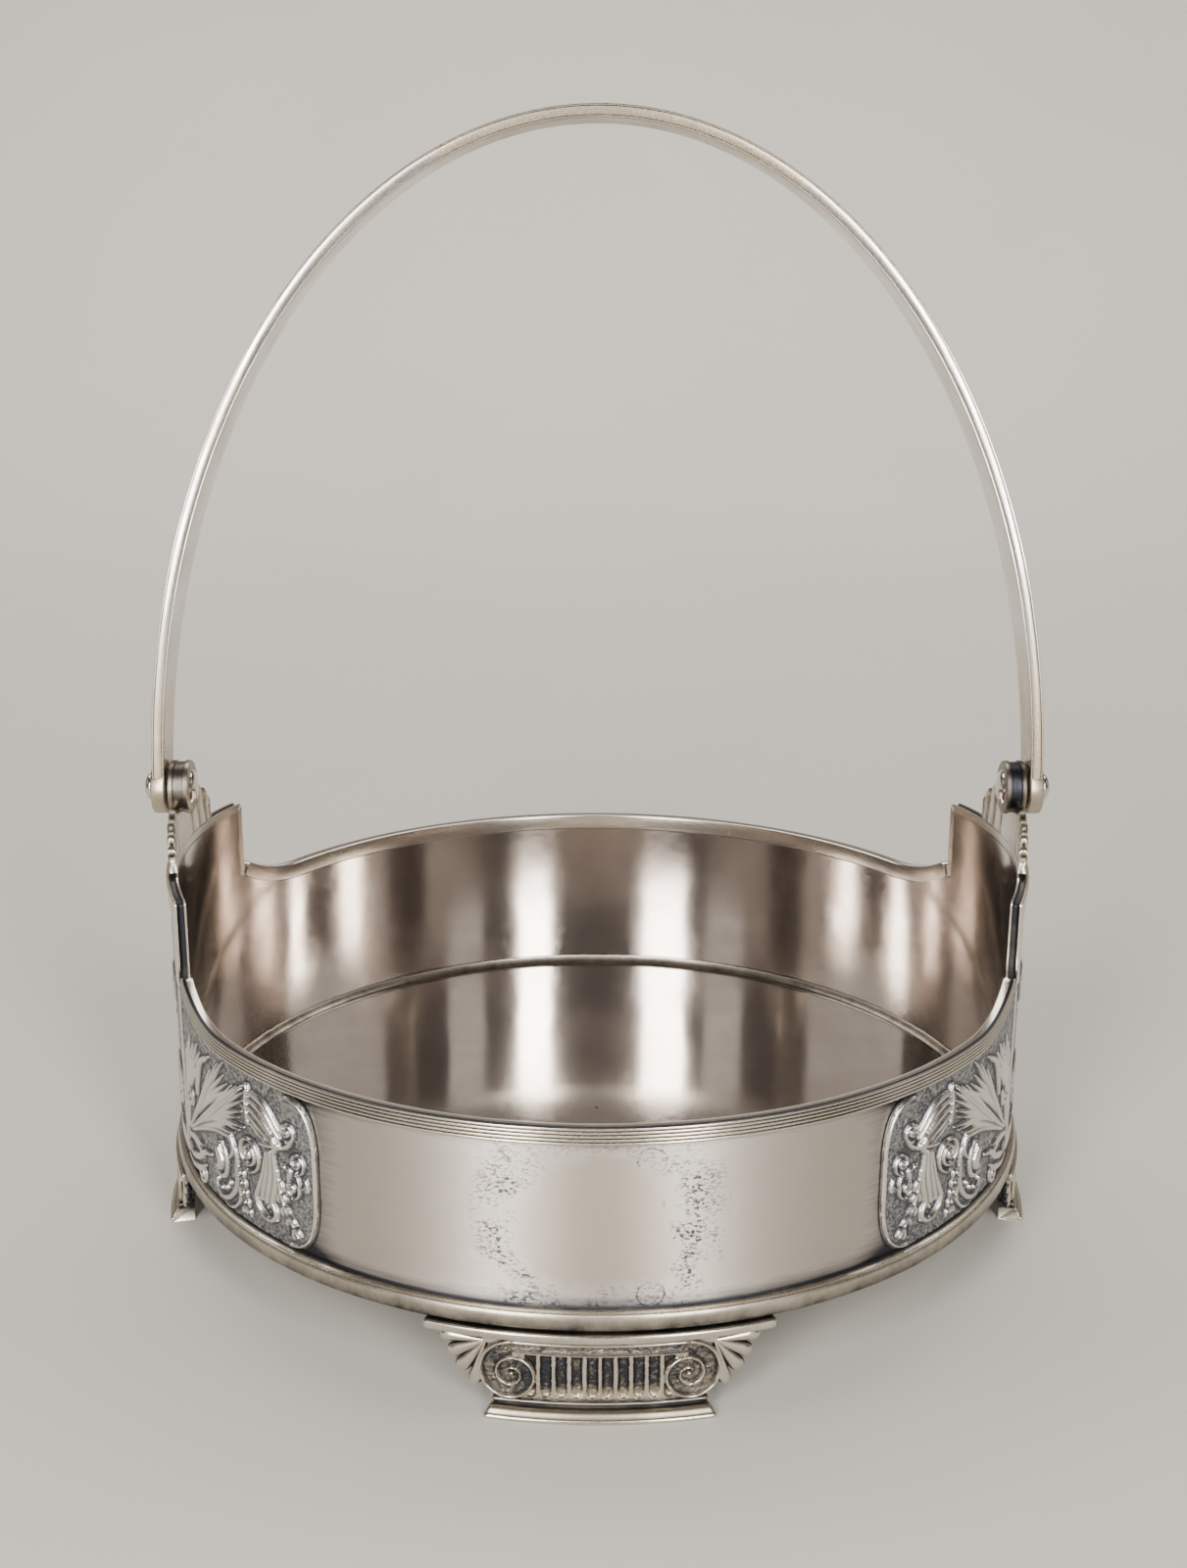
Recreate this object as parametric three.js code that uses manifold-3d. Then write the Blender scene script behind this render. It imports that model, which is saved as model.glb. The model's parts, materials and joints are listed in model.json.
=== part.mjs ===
// Round silver basket with a swing handle, +Z up, millimetres
// The origin is on the table, under the middle of the basket; +X points to the right hinge
import * as THREE from 'three';
import { mergeVertices } from 'three/addons/utils/BufferGeometryUtils.js';
import Module from 'manifold-3d';

const wasm = await Module();
wasm.setup();

// Driving dimensions: the basket's body, from the table up
const footHeight = 21.6; // table to the top of a foot
const ringHeight = 5.6; // the base moulding: one swelling band round the foot of the wall
const ringProjection = 2.5; // proud of the wall
const ringSeat = 1.1; // bottom of the band to the seat of the wall inside it
const neckDepth = 2.8; // the moulding reaches this far down inside the feet, to carry the floor
const neckTaper = 1.8;
const coveWidth = 2.0; // hollow from the wall's inner face down to the floor
const ledgeWidth = 3.5; // under the floor's edge
const ledgeThickness = 0.8;
const wallRise = 44.8; // base moulding to the top of the rim
const wallRadius = 113.7; // outer face of the straight wall
const wallThickness = 1.7;
const floorThickness = 1.0;

// Driving dimensions: the rim, and the two ears that carry the handle
const rimHeight = 4.4; // height of the reeded moulding
const rimWidth = 3.0;
const reedCount = 5;
const reedDepth = 0.45;
const sweepRise = 9.2; // the rim sweeps up to each ear
const sweepLength = 27.7;
const earWidth = 87.0; // along the wall's outer face
const earRise = 26.1; // rim to the ear's corners
const earCrown = 1.2; // the ear's top edge bulges up in the middle
const borderWidth = 2.2;
const borderThickness = 3.0;

// Driving dimensions: the relief panels, one on each side of each ear
const panelThickness = 0.9;
const panelLength = 65.2; // along the wall, at half the panel's height
const panelCorner = 10.5; // along the wall, where its far corners are round

// Driving dimensions: the feet
const footThickness = 2.8;
const abacusWidth = 81.0;
const abacusHeight = 2.2;
const abacusProjection = 1.2;
const abacusSlope = 0.9; // height of its sloping top edge
const voluteSpacing = 39.6; // between the two volutes' centres
const voluteDiameter = 12.6;
const voluteProjection = 1.3;
const voluteHeight = 10.65; // volute centres above the table
const shellWidth = 10.2; // shell under each end of the abacus
const shellHeight = 9.0;
const plinthWidth = 51.4;
const plinthHeight = 2.8;
const plinthProjection = 3.8;
const plinthEdge = 0.9; // height of its upright edge
const plinthSlope = 2.5; // how far its top slopes out

// Driving dimensions: the hinges
const pivotRise = 16.5; // ear top to the pivot axis
const bracketWidth = 49.4;
const bracketThickness = 2.2;
const bracketEndHeight = 4.2; // straight part of the bracket's ends
const bracketHeight = 13.2;
const bracketNeckWidth = 17.3;
const bracketLobes = 4; // scallops on each shoulder
const bracketLobeDepth = 0.9;
const lugDiameter = 14.4;
const lugThickness = 4.1;
const lugProjection = 1.0; // lug, proud of the wall's outer face
const pinDiameter = 3.6;
const pinHeadDiameter = 7.4;
const pinHeadHeight = 2.4;
const rosetteDiameter = 13.0;
const rosetteThickness = 2.6;
const rosetteEdge = 0.8; // straight part of its rim
const pinReach = 1.5; // how deep the pin goes into its rosette

// Driving dimensions: the handle
const eyeDiameter = 14.4;
const eyeThickness = 3.9;
const handleThickness = 3.5;
const handleWidth = 16.0;
const handleEndWidth = 12.4;
const handleTopWidth = 13.0;
const handleTaper = 60.0; // height over which it widens above the eyes, and narrows to the top
const handleRise = 175.0; // pivot axis to the top of the handle
const handleLean = 5.0; // degrees, as it stands in the photograph

// Clearances
const gap = 0.3; // between pieces that touch
const pinClearance = 0.2; // radial, in a bore that turns

// Levels and radii that follow from them
const ringBottom = footHeight + gap;
const ringTop = ringBottom + ringHeight;
const seatTop = ringBottom + ringSeat;
const wallBottom = seatTop + gap;
const neckBottom = ringBottom - neckDepth;
const ledgeTop = neckBottom + ledgeThickness;
const floorBottom = ledgeTop + gap;
const rimTop = ringTop + gap + wallRise;
const earCorner = rimTop + earRise;
const earTop = earCorner + earCrown;
const pivotHeight = earTop + pivotRise;
const wallInner = wallRadius - wallThickness;
const onWall = wallRadius + gap; // inner face of what is fixed to the wall's outside
const borderOuter = wallInner + borderThickness;
const coveInner = wallInner - coveWidth;
const footFace = wallRadius + ringProjection - gap;
const footInner = footFace - footThickness;
const lugOuter = wallRadius + lugProjection;
const lugInner = lugOuter - lugThickness;
const eyeInner = Math.max(lugOuter, borderOuter) + gap;
const eyeOuter = eyeInner + eyeThickness;
const boreRadius = pinDiameter / 2 + pinClearance;
const earAngle = earWidth / 2 / wallRadius;
const innerEarAngle = earAngle - (borderWidth + gap) / wallRadius;
const rimHalfAngle = Math.PI / 2 - earAngle;

// Outside of the base moulding from its foot up, as shares of its projection and of its height
const ringFace = [[0.6, 0], [0.92, 0.05], [1, 0.28], [1, 0.46], [0.92, 0.66], [0.68, 0.83]];
// Heights at which the far edge of a relief panel is drawn, as shares of half its height
const panelShares = [0.97, 0.9, 0.78, 0.62, 0.4];

// Round pieces share one facet angle, so that their gaps stay even
const turnSteps = 96;
const facetAngle = 2 * Math.PI / turnSteps;
const smallSteps = 32;
const beyond = 1; // how far a cutter passes the face that it cuts

const silver = { color: 0xb9b4aa, roughness: 0.28, metalness: 1.0 };
const brightSilver = { color: 0xd2cdc2, roughness: 0.22, metalness: 1.0 };
const matteSilver = { color: 0x8f8c87, roughness: 0.6, metalness: 1.0 };
const darkSilver = { color: 0x63605b, roughness: 0.4, metalness: 1.0 };

const basket = new THREE.Group();
const handleGroup = new THREE.Group();
handleGroup.position.z = pivotHeight;
handleGroup.rotation.x = -THREE.MathUtils.degToRad(handleLean);
basket.add(handleGroup);

// A closed solid from a geometry, with its faces turned outwards
function solid(geometry) {
  const bare = geometry.clone();
  bare.deleteAttribute('normal');
  bare.deleteAttribute('uv');
  const merged = mergeVertices(bare, 1e-4);
  const places = merged.attributes.position.array;
  const corner = (i) => new THREE.Vector3().fromArray(places, 3 * i);
  const index = [];
  let volume = 0;
  for (let i = 0; i < merged.index.count; i += 3) {
    const [a, b, c] = [0, 1, 2].map((k) => merged.index.getX(i + k));
    if (a === b || b === c || c === a) continue;
    index.push(a, b, c);
    volume += corner(a).dot(corner(b).cross(corner(c)));
  }
  if (volume < 0) index.reverse();
  return new wasm.Manifold(new wasm.Mesh({
    numProp: 3,
    vertProperties: Float32Array.from(places),
    triVerts: Uint32Array.from(index),
  }));
}

function union(bodies) {
  return bodies.reduce((whole, body) => whole.add(body));
}

function addPiece(name, body, look, { turn = 0, parent = basket } = {}) {
  const mesh = body.getMesh();
  const geometry = new THREE.BufferGeometry();
  geometry.setAttribute('position', new THREE.Float32BufferAttribute(mesh.vertProperties, 3));
  geometry.setIndex(Array.from(mesh.triVerts));
  geometry.computeVertexNormals();
  const piece = new THREE.Mesh(geometry, new THREE.MeshStandardMaterial(look));
  piece.name = name;
  piece.rotation.z = turn;
  parent.add(piece);
}

// A solid turned about the Z axis, from a closed row of [radius, height] points
function turned(points) {
  const profile = points.map(([r, z]) => new THREE.Vector2(r, z));
  return solid(new THREE.LatheGeometry(profile, turnSteps).rotateX(Math.PI / 2));
}

function turnedRing(inner, outer, low, high) {
  return turned([[inner, low], [outer, low], [outer, high], [inner, high], [inner, low]]);
}

// A solid turned about the X axis, from a row of [radius, x] points that starts and ends at radius 0
function turnedAlongX(points) {
  const profile = points.map(([r, x]) => new THREE.Vector2(r, x));
  return solid(new THREE.LatheGeometry(profile, smallSteps).rotateZ(-Math.PI / 2));
}

function rodAlongX(radius, start, end) {
  return turnedAlongX([[0, start], [radius, start], [radius, end], [0, end]]);
}

function cylinderPoint(radius, angle, height) {
  return [radius * Math.cos(angle), radius * Math.sin(angle), height];
}

// Triangles of an end face, told by each point's distance from the Z axis and its height
function endFace(section) {
  const flat = section.map(([x, y, z]) => new THREE.Vector2(Math.hypot(x, y), z));
  return THREE.ShapeUtils.triangulateShape(flat, []);
}

// A solid through a row of sections, each the same number of [x, y, z] points in a ring
function loft(sections) {
  const size = sections[0].length;
  const last = (sections.length - 1) * size;
  const turns = THREE.ShapeUtils.isClockWise(
    sections[0].map(([x, y, z]) => new THREE.Vector2(Math.hypot(x, y), z)),
  );
  const index = [];
  for (let i = 0; i + 1 < sections.length; i++) {
    for (let j = 0; j < size; j++) {
      const a = i * size + j;
      const b = i * size + (j + 1) % size;
      if (turns) index.push(a, b + size, b, a, a + size, b + size);
      else index.push(a, b, b + size, a, b + size, a + size);
    }
  }
  for (const [a, b, c] of endFace(sections[0])) index.push(c, b, a);
  for (const [a, b, c] of endFace(sections[sections.length - 1])) {
    index.push(last + a, last + b, last + c);
  }
  const geometry = new THREE.BufferGeometry();
  geometry.setAttribute('position', new THREE.Float32BufferAttribute(sections.flat(2), 3));
  geometry.setIndex(index);
  return solid(geometry);
}

// Angles from start to end, no further apart than a facet
function anglesBetween(start, end, fewest = 1) {
  const steps = Math.max(fewest, Math.ceil(Math.abs(end - start) / facetAngle));
  return Array.from({ length: steps + 1 }, (_, i) => start + (end - start) * i / steps);
}

// A band that follows the wall; every station is [angle, low, high]
function curvedBand(inner, outer, stations) {
  return loft(stations.map(([angle, low, high]) => [
    cylinderPoint(inner, angle, low),
    cylinderPoint(outer, angle, low),
    cylinderPoint(outer, angle, high),
    cylinderPoint(inner, angle, high),
  ]));
}

// A plate cut from a ring by an outline of (y, z) points, seen from outside along X
function curvedPlate(outline, inner, outer) {
  const heights = outline.getPoints().map((p) => p.y);
  const ring = turnedRing(
    inner, outer, Math.min(...heights) - beyond, Math.max(...heights) + beyond,
  );
  const cutter = new THREE.ExtrudeGeometry(outline, {
    depth: outer, bevelEnabled: false, curveSegments: 8,
  });
  cutter.translate(0, 0, inner / 2);
  cutter.applyMatrix4(new THREE.Matrix4().makeBasis(
    new THREE.Vector3(0, 1, 0), new THREE.Vector3(0, 0, 1), new THREE.Vector3(1, 0, 0),
  ));
  return ring.intersect(solid(cutter));
}

// The rim's top edge at a distance from the ear: level, then sweeping up to the ear
function rimEdge(reach) {
  const share = THREE.MathUtils.clamp(1 - reach / sweepLength, 0, 1);
  return {
    height: rimTop + sweepRise * share ** 2,
    slope: Math.atan(2 * sweepRise / sweepLength * share),
  };
}

// Places along one half of the rim, from ear to ear, a drop below its top edge and square to it
function rimLine(facing, firstReach, drop) {
  const level = rimHalfAngle - sweepLength / wallRadius;
  const first = rimHalfAngle - firstReach / wallRadius;
  const side = [...anglesBetween(0, level), ...anglesBetween(level, first, 7).slice(1)];
  const offsets = [...side.slice(1).reverse().map((angle) => -angle), ...side];
  return offsets.map((offset) => {
    const edge = rimEdge((rimHalfAngle - Math.abs(offset)) * wallRadius);
    const along = Math.sign(offset) * drop * Math.sin(edge.slope) / wallRadius;
    return { angle: facing + offset + along, height: edge.height - drop * Math.cos(edge.slope) };
  });
}

// The rim's end stands square to its sweep, so its top edge ends short of the ear
const rimReach = gap + rimHeight * Math.sin(rimEdge(0).slope);
const rimEnd = rimEdge(rimReach);
const earFoot = rimEnd.height - rimHeight * Math.cos(rimEnd.slope);

// The reeded moulding on one half of the rim, its ends square to its own sweep
function rimMoulding(facing) {
  const outer = wallInner + rimWidth;
  const pitch = rimHeight / reedCount;
  const profile = [[wallInner, rimHeight], [wallInner, pitch / 2], [wallInner + pitch / 2, 0]];
  for (let i = 0; i < reedCount; i++) {
    profile.push([outer - reedDepth, pitch * i]);
    profile.push([outer, pitch * (i + 0.5)]);
  }
  profile.push([outer - reedDepth, rimHeight]);
  const lines = profile.map(([radius, drop]) => rimLine(facing, rimReach, drop).map((place) => (
    cylinderPoint(radius, place.angle, place.height)
  )));
  return loft(lines[0].map((_, i) => lines.map((line) => line[i])));
}

// Height of the ear's top edge at an angle from the hinge
function earEdge(angle) {
  return earCorner + earCrown * (1 - (angle / earAngle) ** 2);
}

// The wall is one ring with its rim cut down between the ears
function wallBand() {
  const ears = [0, Math.PI].map((facing) => {
    const angles = anglesBetween(-earAngle, earAngle);
    return curvedBand(wallInner - beyond, wallRadius + beyond, angles.map((angle) => (
      [facing + angle, earEdge(angle) - borderWidth - gap, earTop + 2 * beyond]
    )));
  });
  const rims = [Math.PI / 2, -Math.PI / 2].map((facing) => {
    const end = Math.PI / 2 - innerEarAngle;
    const line = rimLine(facing, 0, rimHeight + gap).filter((place) => (
      Math.abs(place.angle - facing) < rimHalfAngle
    ));
    const stations = [
      { angle: facing - end, height: earFoot },
      ...line,
      { angle: facing + end, height: earFoot },
    ];
    return curvedBand(wallInner - beyond, wallRadius + beyond, stations.map((place) => (
      [place.angle, Math.min(place.height, earFoot), earTop + beyond]
    )));
  });
  const ring = turnedRing(wallInner, wallRadius, wallBottom, earTop);
  return ring.subtract(union([...rims, ...ears]));
}

// Border round an ear's two upright edges and its top
function earBorder() {
  const outside = anglesBetween(-earAngle, earAngle).map((angle) => (
    [angle, earFoot + gap, earEdge(angle)]
  ));
  const inner = earAngle - borderWidth / wallRadius;
  const inside = anglesBetween(-inner, inner).map((angle) => (
    [angle, earFoot + gap - beyond, earEdge(angle) - borderWidth]
  ));
  return curvedBand(wallInner, borderOuter, outside)
    .subtract(curvedBand(wallInner - beyond, borderOuter + beyond, inside));
}

// Plaque on the outside of an ear, inside its border and, below that, as wide as the ear
function earPlaque() {
  const low = ringTop + gap;
  const angles = anglesBetween(-innerEarAngle, innerEarAngle);
  const upper = curvedBand(onWall, borderOuter, angles.map((angle) => (
    [angle, low, earEdge(angle) - borderWidth - gap]
  )));
  const lower = curvedBand(onWall, borderOuter, [-earAngle, ...angles, earAngle].map((angle) => (
    [angle, low, earFoot]
  )));
  return upper.add(lower);
}

// Relief panel at the back of the right ear, its corners away from the ear round
function reliefPanel() {
  const start = earAngle + gap / wallRadius;
  const end = start + panelLength / wallRadius;
  const low = ringTop + gap;
  const halfHeight = (rimTop - rimHeight - gap - low) / 2;
  const body = anglesBetween(start, end - panelCorner / wallRadius).map((angle) => {
    const edge = rimEdge((angle - earAngle) * wallRadius);
    return [angle, low, edge.height - (rimHeight + gap) / Math.cos(edge.slope)];
  });
  const round = panelShares.map((share) => [
    end - panelCorner * (1 - Math.cbrt(1 - share ** 3)) / wallRadius,
    low + halfHeight * (1 - share),
    low + halfHeight * (1 + share),
  ]);
  return curvedBand(onWall, onWall + panelThickness, [...body, ...round]);
}

// The part of a foot between plinth and abacus, with a shell under each end of the abacus
function footOutline() {
  const abacusFoot = footHeight - abacusHeight;
  const inner = voluteSpacing / 2 + voluteDiameter / 2;
  const outline = new THREE.Shape();
  outline.moveTo(-plinthWidth / 2 + plinthProjection, plinthHeight / 2);
  outline.lineTo(plinthWidth / 2 - plinthProjection, plinthHeight / 2);
  outline.lineTo(inner - voluteDiameter / 4, voluteHeight - voluteDiameter / 2);
  outline.lineTo(inner, voluteHeight);
  outline.lineTo(inner, abacusFoot - shellHeight);
  outline.quadraticCurveTo(
    inner + shellWidth, abacusFoot - shellHeight, inner + shellWidth, abacusFoot + gap,
  );
  outline.lineTo(-inner - shellWidth, abacusFoot + gap);
  outline.quadraticCurveTo(
    -inner - shellWidth, abacusFoot - shellHeight, -inner, abacusFoot - shellHeight,
  );
  outline.lineTo(-inner, voluteHeight);
  outline.lineTo(-inner + voluteDiameter / 4, voluteHeight - voluteDiameter / 2);
  outline.closePath();
  return outline;
}

// A level band across a foot, from a section of [radius, height] points
function footBand(width, section) {
  const halfAngle = Math.asin(width / 2 / footFace);
  return loft(anglesBetween(-halfAngle, halfAngle).map((angle) => (
    section.map(([radius, height]) => cylinderPoint(radius, angle, height))
  )));
}

// A foot is one casting: plinth, fluted shaft with two volutes, and abacus
function foot() {
  const plinthOuter = footFace + plinthProjection;
  const abacusOuter = footFace + abacusProjection;
  const volute = rodAlongX(voluteDiameter / 2, footInner, footFace + voluteProjection)
    .translate([0, 0, voluteHeight]);
  const voluteTurn = THREE.MathUtils.radToDeg(Math.asin(voluteSpacing / 2 / footFace));
  return union([
    curvedPlate(footOutline(), footInner, footFace),
    footBand(plinthWidth, [
      [footInner, 0],
      [plinthOuter, 0],
      [plinthOuter, plinthEdge],
      [plinthOuter - plinthSlope, plinthHeight],
      [footInner, plinthHeight],
    ]),
    footBand(abacusWidth, [
      [footInner, footHeight - abacusHeight],
      [abacusOuter, footHeight - abacusHeight],
      [abacusOuter, footHeight - abacusSlope],
      [footFace, footHeight],
      [footInner, footHeight],
    ]),
    volute.rotate([0, 0, voluteTurn]),
    volute.rotate([0, 0, -voluteTurn]),
  ]);
}

// One scalloped shoulder of the bracket, as (y, z) points from its foot up to the neck
function bracketShoulder() {
  const half = bracketWidth / 2;
  const neck = bracketNeckWidth / 2;
  const points = [[half, 0]];
  const steps = 6 * bracketLobes;
  for (let i = 0; i <= steps; i++) {
    const turn = Math.PI / 2 * i / steps;
    const lobe = bracketLobeDepth * (Math.abs(Math.sin(Math.PI * bracketLobes * i / steps)) - 1);
    points.push([
      neck + (half - neck + lobe) * Math.cos(turn),
      bracketEndHeight + (bracketHeight - bracketEndHeight + lobe) * Math.sin(turn),
    ]);
  }
  return points;
}

// Bracket on top of an ear, with the round lug that the pin goes through
function hingeBracket() {
  const low = earTop + gap;
  const shoulder = bracketShoulder().map(([y, z]) => new THREE.Vector2(y, low + z));
  const mirrored = shoulder.map((p) => new THREE.Vector2(-p.x, p.y)).reverse();
  const plate = curvedPlate(
    new THREE.Shape([...shoulder, ...mirrored]), wallInner, wallInner + bracketThickness,
  );
  const lug = rodAlongX(lugDiameter / 2, lugInner, lugOuter).translate([0, 0, pivotHeight]);
  const bore = rodAlongX(boreRadius, lugInner - beyond, lugOuter + beyond);
  return plate.add(lug).subtract(bore.translate([0, 0, pivotHeight]));
}

// A dome's outline from its rim to the axis, as [radius, x] points
function dome(radius, base, height) {
  const steps = 6;
  const points = [];
  for (let i = 0; i < steps; i++) {
    const turn = Math.PI / 2 * i / steps;
    points.push([radius * Math.cos(turn), base + height * Math.sin(turn)]);
  }
  return [...points, [0, base + height]];
}

// The pin runs through the handle's eye and the lug into its rosette
function pivotPin() {
  const shaft = pinDiameter / 2;
  const headBase = eyeOuter + gap;
  const end = lugInner - gap - pinReach;
  const head = dome(pinHeadDiameter / 2, headBase, pinHeadHeight);
  return turnedAlongX([[0, end], [shaft, end], [shaft, headBase], ...head])
    .translate([0, 0, pivotHeight]);
}

function pivotRosette() {
  const base = lugInner - gap;
  const face = dome(rosetteDiameter / 2, base - rosetteEdge, rosetteEdge - rosetteThickness);
  const body = turnedAlongX([[0, base], [rosetteDiameter / 2, base], ...face]);
  const bore = rodAlongX(boreRadius, base - pinReach - gap, base + beyond);
  return body.subtract(bore).translate([0, 0, pivotHeight]);
}

// The handle is a flat arch with an eye at each end, drawn about its pivot axis
function handleBody() {
  const outerWidth = eyeInner + handleThickness;
  const arch = new THREE.Shape();
  arch.absellipse(0, 0, outerWidth, handleRise, 0, Math.PI, false);
  arch.absellipse(0, 0, eyeInner, handleRise - handleThickness, Math.PI, 0, true);
  arch.closePath();
  const band = new THREE.ExtrudeGeometry(arch, {
    depth: handleWidth, bevelEnabled: false, curveSegments: 72,
  });
  band.translate(0, 0, -handleWidth / 2);
  band.rotateX(Math.PI / 2);
  const side = [
    [handleEndWidth / 2, -beyond],
    [handleEndWidth / 2, 0],
    [handleWidth / 2, handleTaper],
    [handleWidth / 2, handleRise - handleTaper],
    [handleTopWidth / 2, handleRise],
    [handleTopWidth / 2, handleRise + beyond],
  ].map(([y, z]) => new THREE.Vector2(y, z));
  const otherSide = side.map((p) => new THREE.Vector2(-p.x, p.y)).reverse();
  const taper = new THREE.ExtrudeGeometry(new THREE.Shape([...side, ...otherSide]), {
    depth: 2 * eyeOuter, bevelEnabled: false,
  });
  taper.translate(0, 0, -eyeOuter);
  taper.applyMatrix4(new THREE.Matrix4().makeBasis(
    new THREE.Vector3(0, 1, 0), new THREE.Vector3(0, 0, 1), new THREE.Vector3(1, 0, 0),
  ));
  const eye = rodAlongX(eyeDiameter / 2, eyeInner, eyeOuter);
  const bore = rodAlongX(boreRadius, eyeInner - beyond, eyeOuter + beyond);
  return solid(band).intersect(solid(taper))
    .add(eye).add(eye.mirror([1, 0, 0]))
    .subtract(bore).subtract(bore.mirror([1, 0, 0]));
}

// The base moulding: its band outside, the wall's seat, and the ledge that carries the floor
function baseMoulding() {
  const inside = coveInner - ledgeWidth;
  const neckOuter = footInner - gap;
  const cove = [0.7, 0.3].map((share) => [
    coveInner + coveWidth * share,
    seatTop - (seatTop - ledgeTop - gap - floorThickness) * (1 - share ** 2),
  ]);
  return turned([
    [inside, neckBottom],
    [neckOuter - neckTaper, neckBottom],
    [neckOuter, ringBottom],
    ...ringFace.map(([out, up]) => [wallRadius + ringProjection * out, ringBottom + ringHeight * up]),
    [onWall, ringTop],
    [onWall, seatTop],
    [wallInner, seatTop],
    ...cove,
    [coveInner, floorBottom + floorThickness],
    [coveInner, ledgeTop],
    [inside, ledgeTop],
    [inside, neckBottom],
  ]);
}

// The floor is a flat disc that lies on the base moulding's ledge
function floorPlate() {
  const radius = coveInner - gap;
  const top = floorBottom + floorThickness;
  return turned([[0, floorBottom], [radius, floorBottom], [radius, top], [0, top]]);
}

addPiece('floor_plate', floorPlate(), silver);
addPiece('base_moulding', baseMoulding(), silver);
addPiece('wall_band', wallBand(), silver);
addPiece('back_rim_moulding', rimMoulding(Math.PI / 2), brightSilver);
addPiece('front_rim_moulding', rimMoulding(-Math.PI / 2), brightSilver);
for (const [side, turn] of [['right', 0], ['left', Math.PI]]) {
  addPiece(`${side}_ear_border`, earBorder(), brightSilver, { turn });
  addPiece(`${side}_ear_plaque`, earPlaque(), silver, { turn });
  addPiece(`${side}_hinge_bracket`, hingeBracket(), brightSilver, { turn });
  addPiece(`${side}_pivot_pin`, pivotPin(), brightSilver, { turn });
  addPiece(`${side}_pivot_rosette`, pivotRosette(), darkSilver, { turn });
}
const panel = reliefPanel();
addPiece('right_back_relief_panel', panel, matteSilver);
addPiece('left_front_relief_panel', panel, matteSilver, { turn: Math.PI });
addPiece('right_front_relief_panel', panel.mirror([0, 1, 0]), matteSilver);
addPiece('left_back_relief_panel', panel.mirror([0, 1, 0]), matteSilver, { turn: Math.PI });
for (const [side, turn] of [['right', 0], ['back', 0.5], ['left', 1], ['front', -0.5]]) {
  addPiece(`${side}_foot`, foot(), brightSilver, { turn: turn * Math.PI });
}
addPiece('handle', handleBody(), brightSilver, { parent: handleGroup });

export default basket;
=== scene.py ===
# Silver basket with a swing handle: its surfaces, relief and studio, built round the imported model.
# Lengths are in millimetres until a mesh is made. The basket stands on z = 0 and its front faces -Y.
import json
import math

import bmesh
import bpy
import numpy as np
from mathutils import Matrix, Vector


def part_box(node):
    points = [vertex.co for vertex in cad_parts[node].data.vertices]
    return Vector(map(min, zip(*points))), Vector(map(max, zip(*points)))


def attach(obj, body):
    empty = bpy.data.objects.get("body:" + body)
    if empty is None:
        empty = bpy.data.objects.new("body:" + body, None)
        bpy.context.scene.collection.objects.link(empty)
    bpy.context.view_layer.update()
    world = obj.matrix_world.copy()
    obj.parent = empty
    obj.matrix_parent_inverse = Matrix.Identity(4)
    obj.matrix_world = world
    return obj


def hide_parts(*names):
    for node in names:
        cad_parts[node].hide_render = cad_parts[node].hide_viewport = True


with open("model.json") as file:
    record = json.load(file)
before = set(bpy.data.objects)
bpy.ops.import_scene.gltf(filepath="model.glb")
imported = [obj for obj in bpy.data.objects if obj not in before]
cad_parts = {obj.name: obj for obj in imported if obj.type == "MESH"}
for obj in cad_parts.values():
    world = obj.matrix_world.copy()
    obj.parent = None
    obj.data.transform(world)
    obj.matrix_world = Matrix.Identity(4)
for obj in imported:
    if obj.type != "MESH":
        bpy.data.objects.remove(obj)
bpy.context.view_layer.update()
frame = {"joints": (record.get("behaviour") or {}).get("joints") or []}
metre = 0.001  # one millimetre, in metres


def nodeBox(node):
    return np.array(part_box(node)) / metre


# Levels and radii of the basket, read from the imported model
(_, _, wallLow), (wallOuter, _, _) = nodeBox("wall_band")
(_, _, neckLow), (_, _, ringHigh) = nodeBox("base_moulding")
(_, _, floorLow), (floorRadius, _, floorHigh) = nodeBox("floor_plate")
(_, _, earLow), (borderOuter, earSide, earTop) = nodeBox("right_ear_border")
(_, footFront, _), (_, _, footTop) = nodeBox("front_foot")
rimUnder = nodeBox("front_rim_moulding")[0, 2]
lugInner, lugOuter = nodeBox("right_hinge_bracket")[:, 0]
pinInner, pinOuter = nodeBox("right_pivot_pin")[:, 0]
rosetteInner, rosetteOuter = nodeBox("right_pivot_rosette")[:, 0]
eyeOuter = nodeBox("handle")[1, 0]
pivotUp = frame["joints"][0]["pos_m"][2] / metre

body = {
    "wallThickness": 1.7,
    "rimHeight": 4.4,
    "rimWidth": 3.0,
    "sweepRise": 9.2,
    "sweepLength": 27.7,
    "earCrown": 1.2,
    "borderWidth": 2.2,
    "gap": 0.3,
}
gap = body["gap"]
wallInner, onWall = wallOuter - body["wallThickness"], wallOuter + gap
rimOuter, rimTop = wallInner + body["rimWidth"], rimUnder + body["rimHeight"]
earHalf = math.asin(earSide / borderOuter) * wallOuter
earInset = body["borderWidth"] + gap
quarter = math.pi / 2
facings = {"right": 0.0, "back": quarter, "left": math.pi, "front": -quarter}
sides = {"left": -1, "right": 1}
rimHalf = quarter * wallOuter - earHalf


def onRound(radius, across, height, facing=0.0):
    # a point on a round surface; across is measured along the wall, from the facing
    angle = facing + np.asarray(across) / wallOuter
    radius, angle, height = np.broadcast_arrays(radius, angle, height)
    return np.stack([radius * np.cos(angle), radius * np.sin(angle), height], axis=-1)


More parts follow.
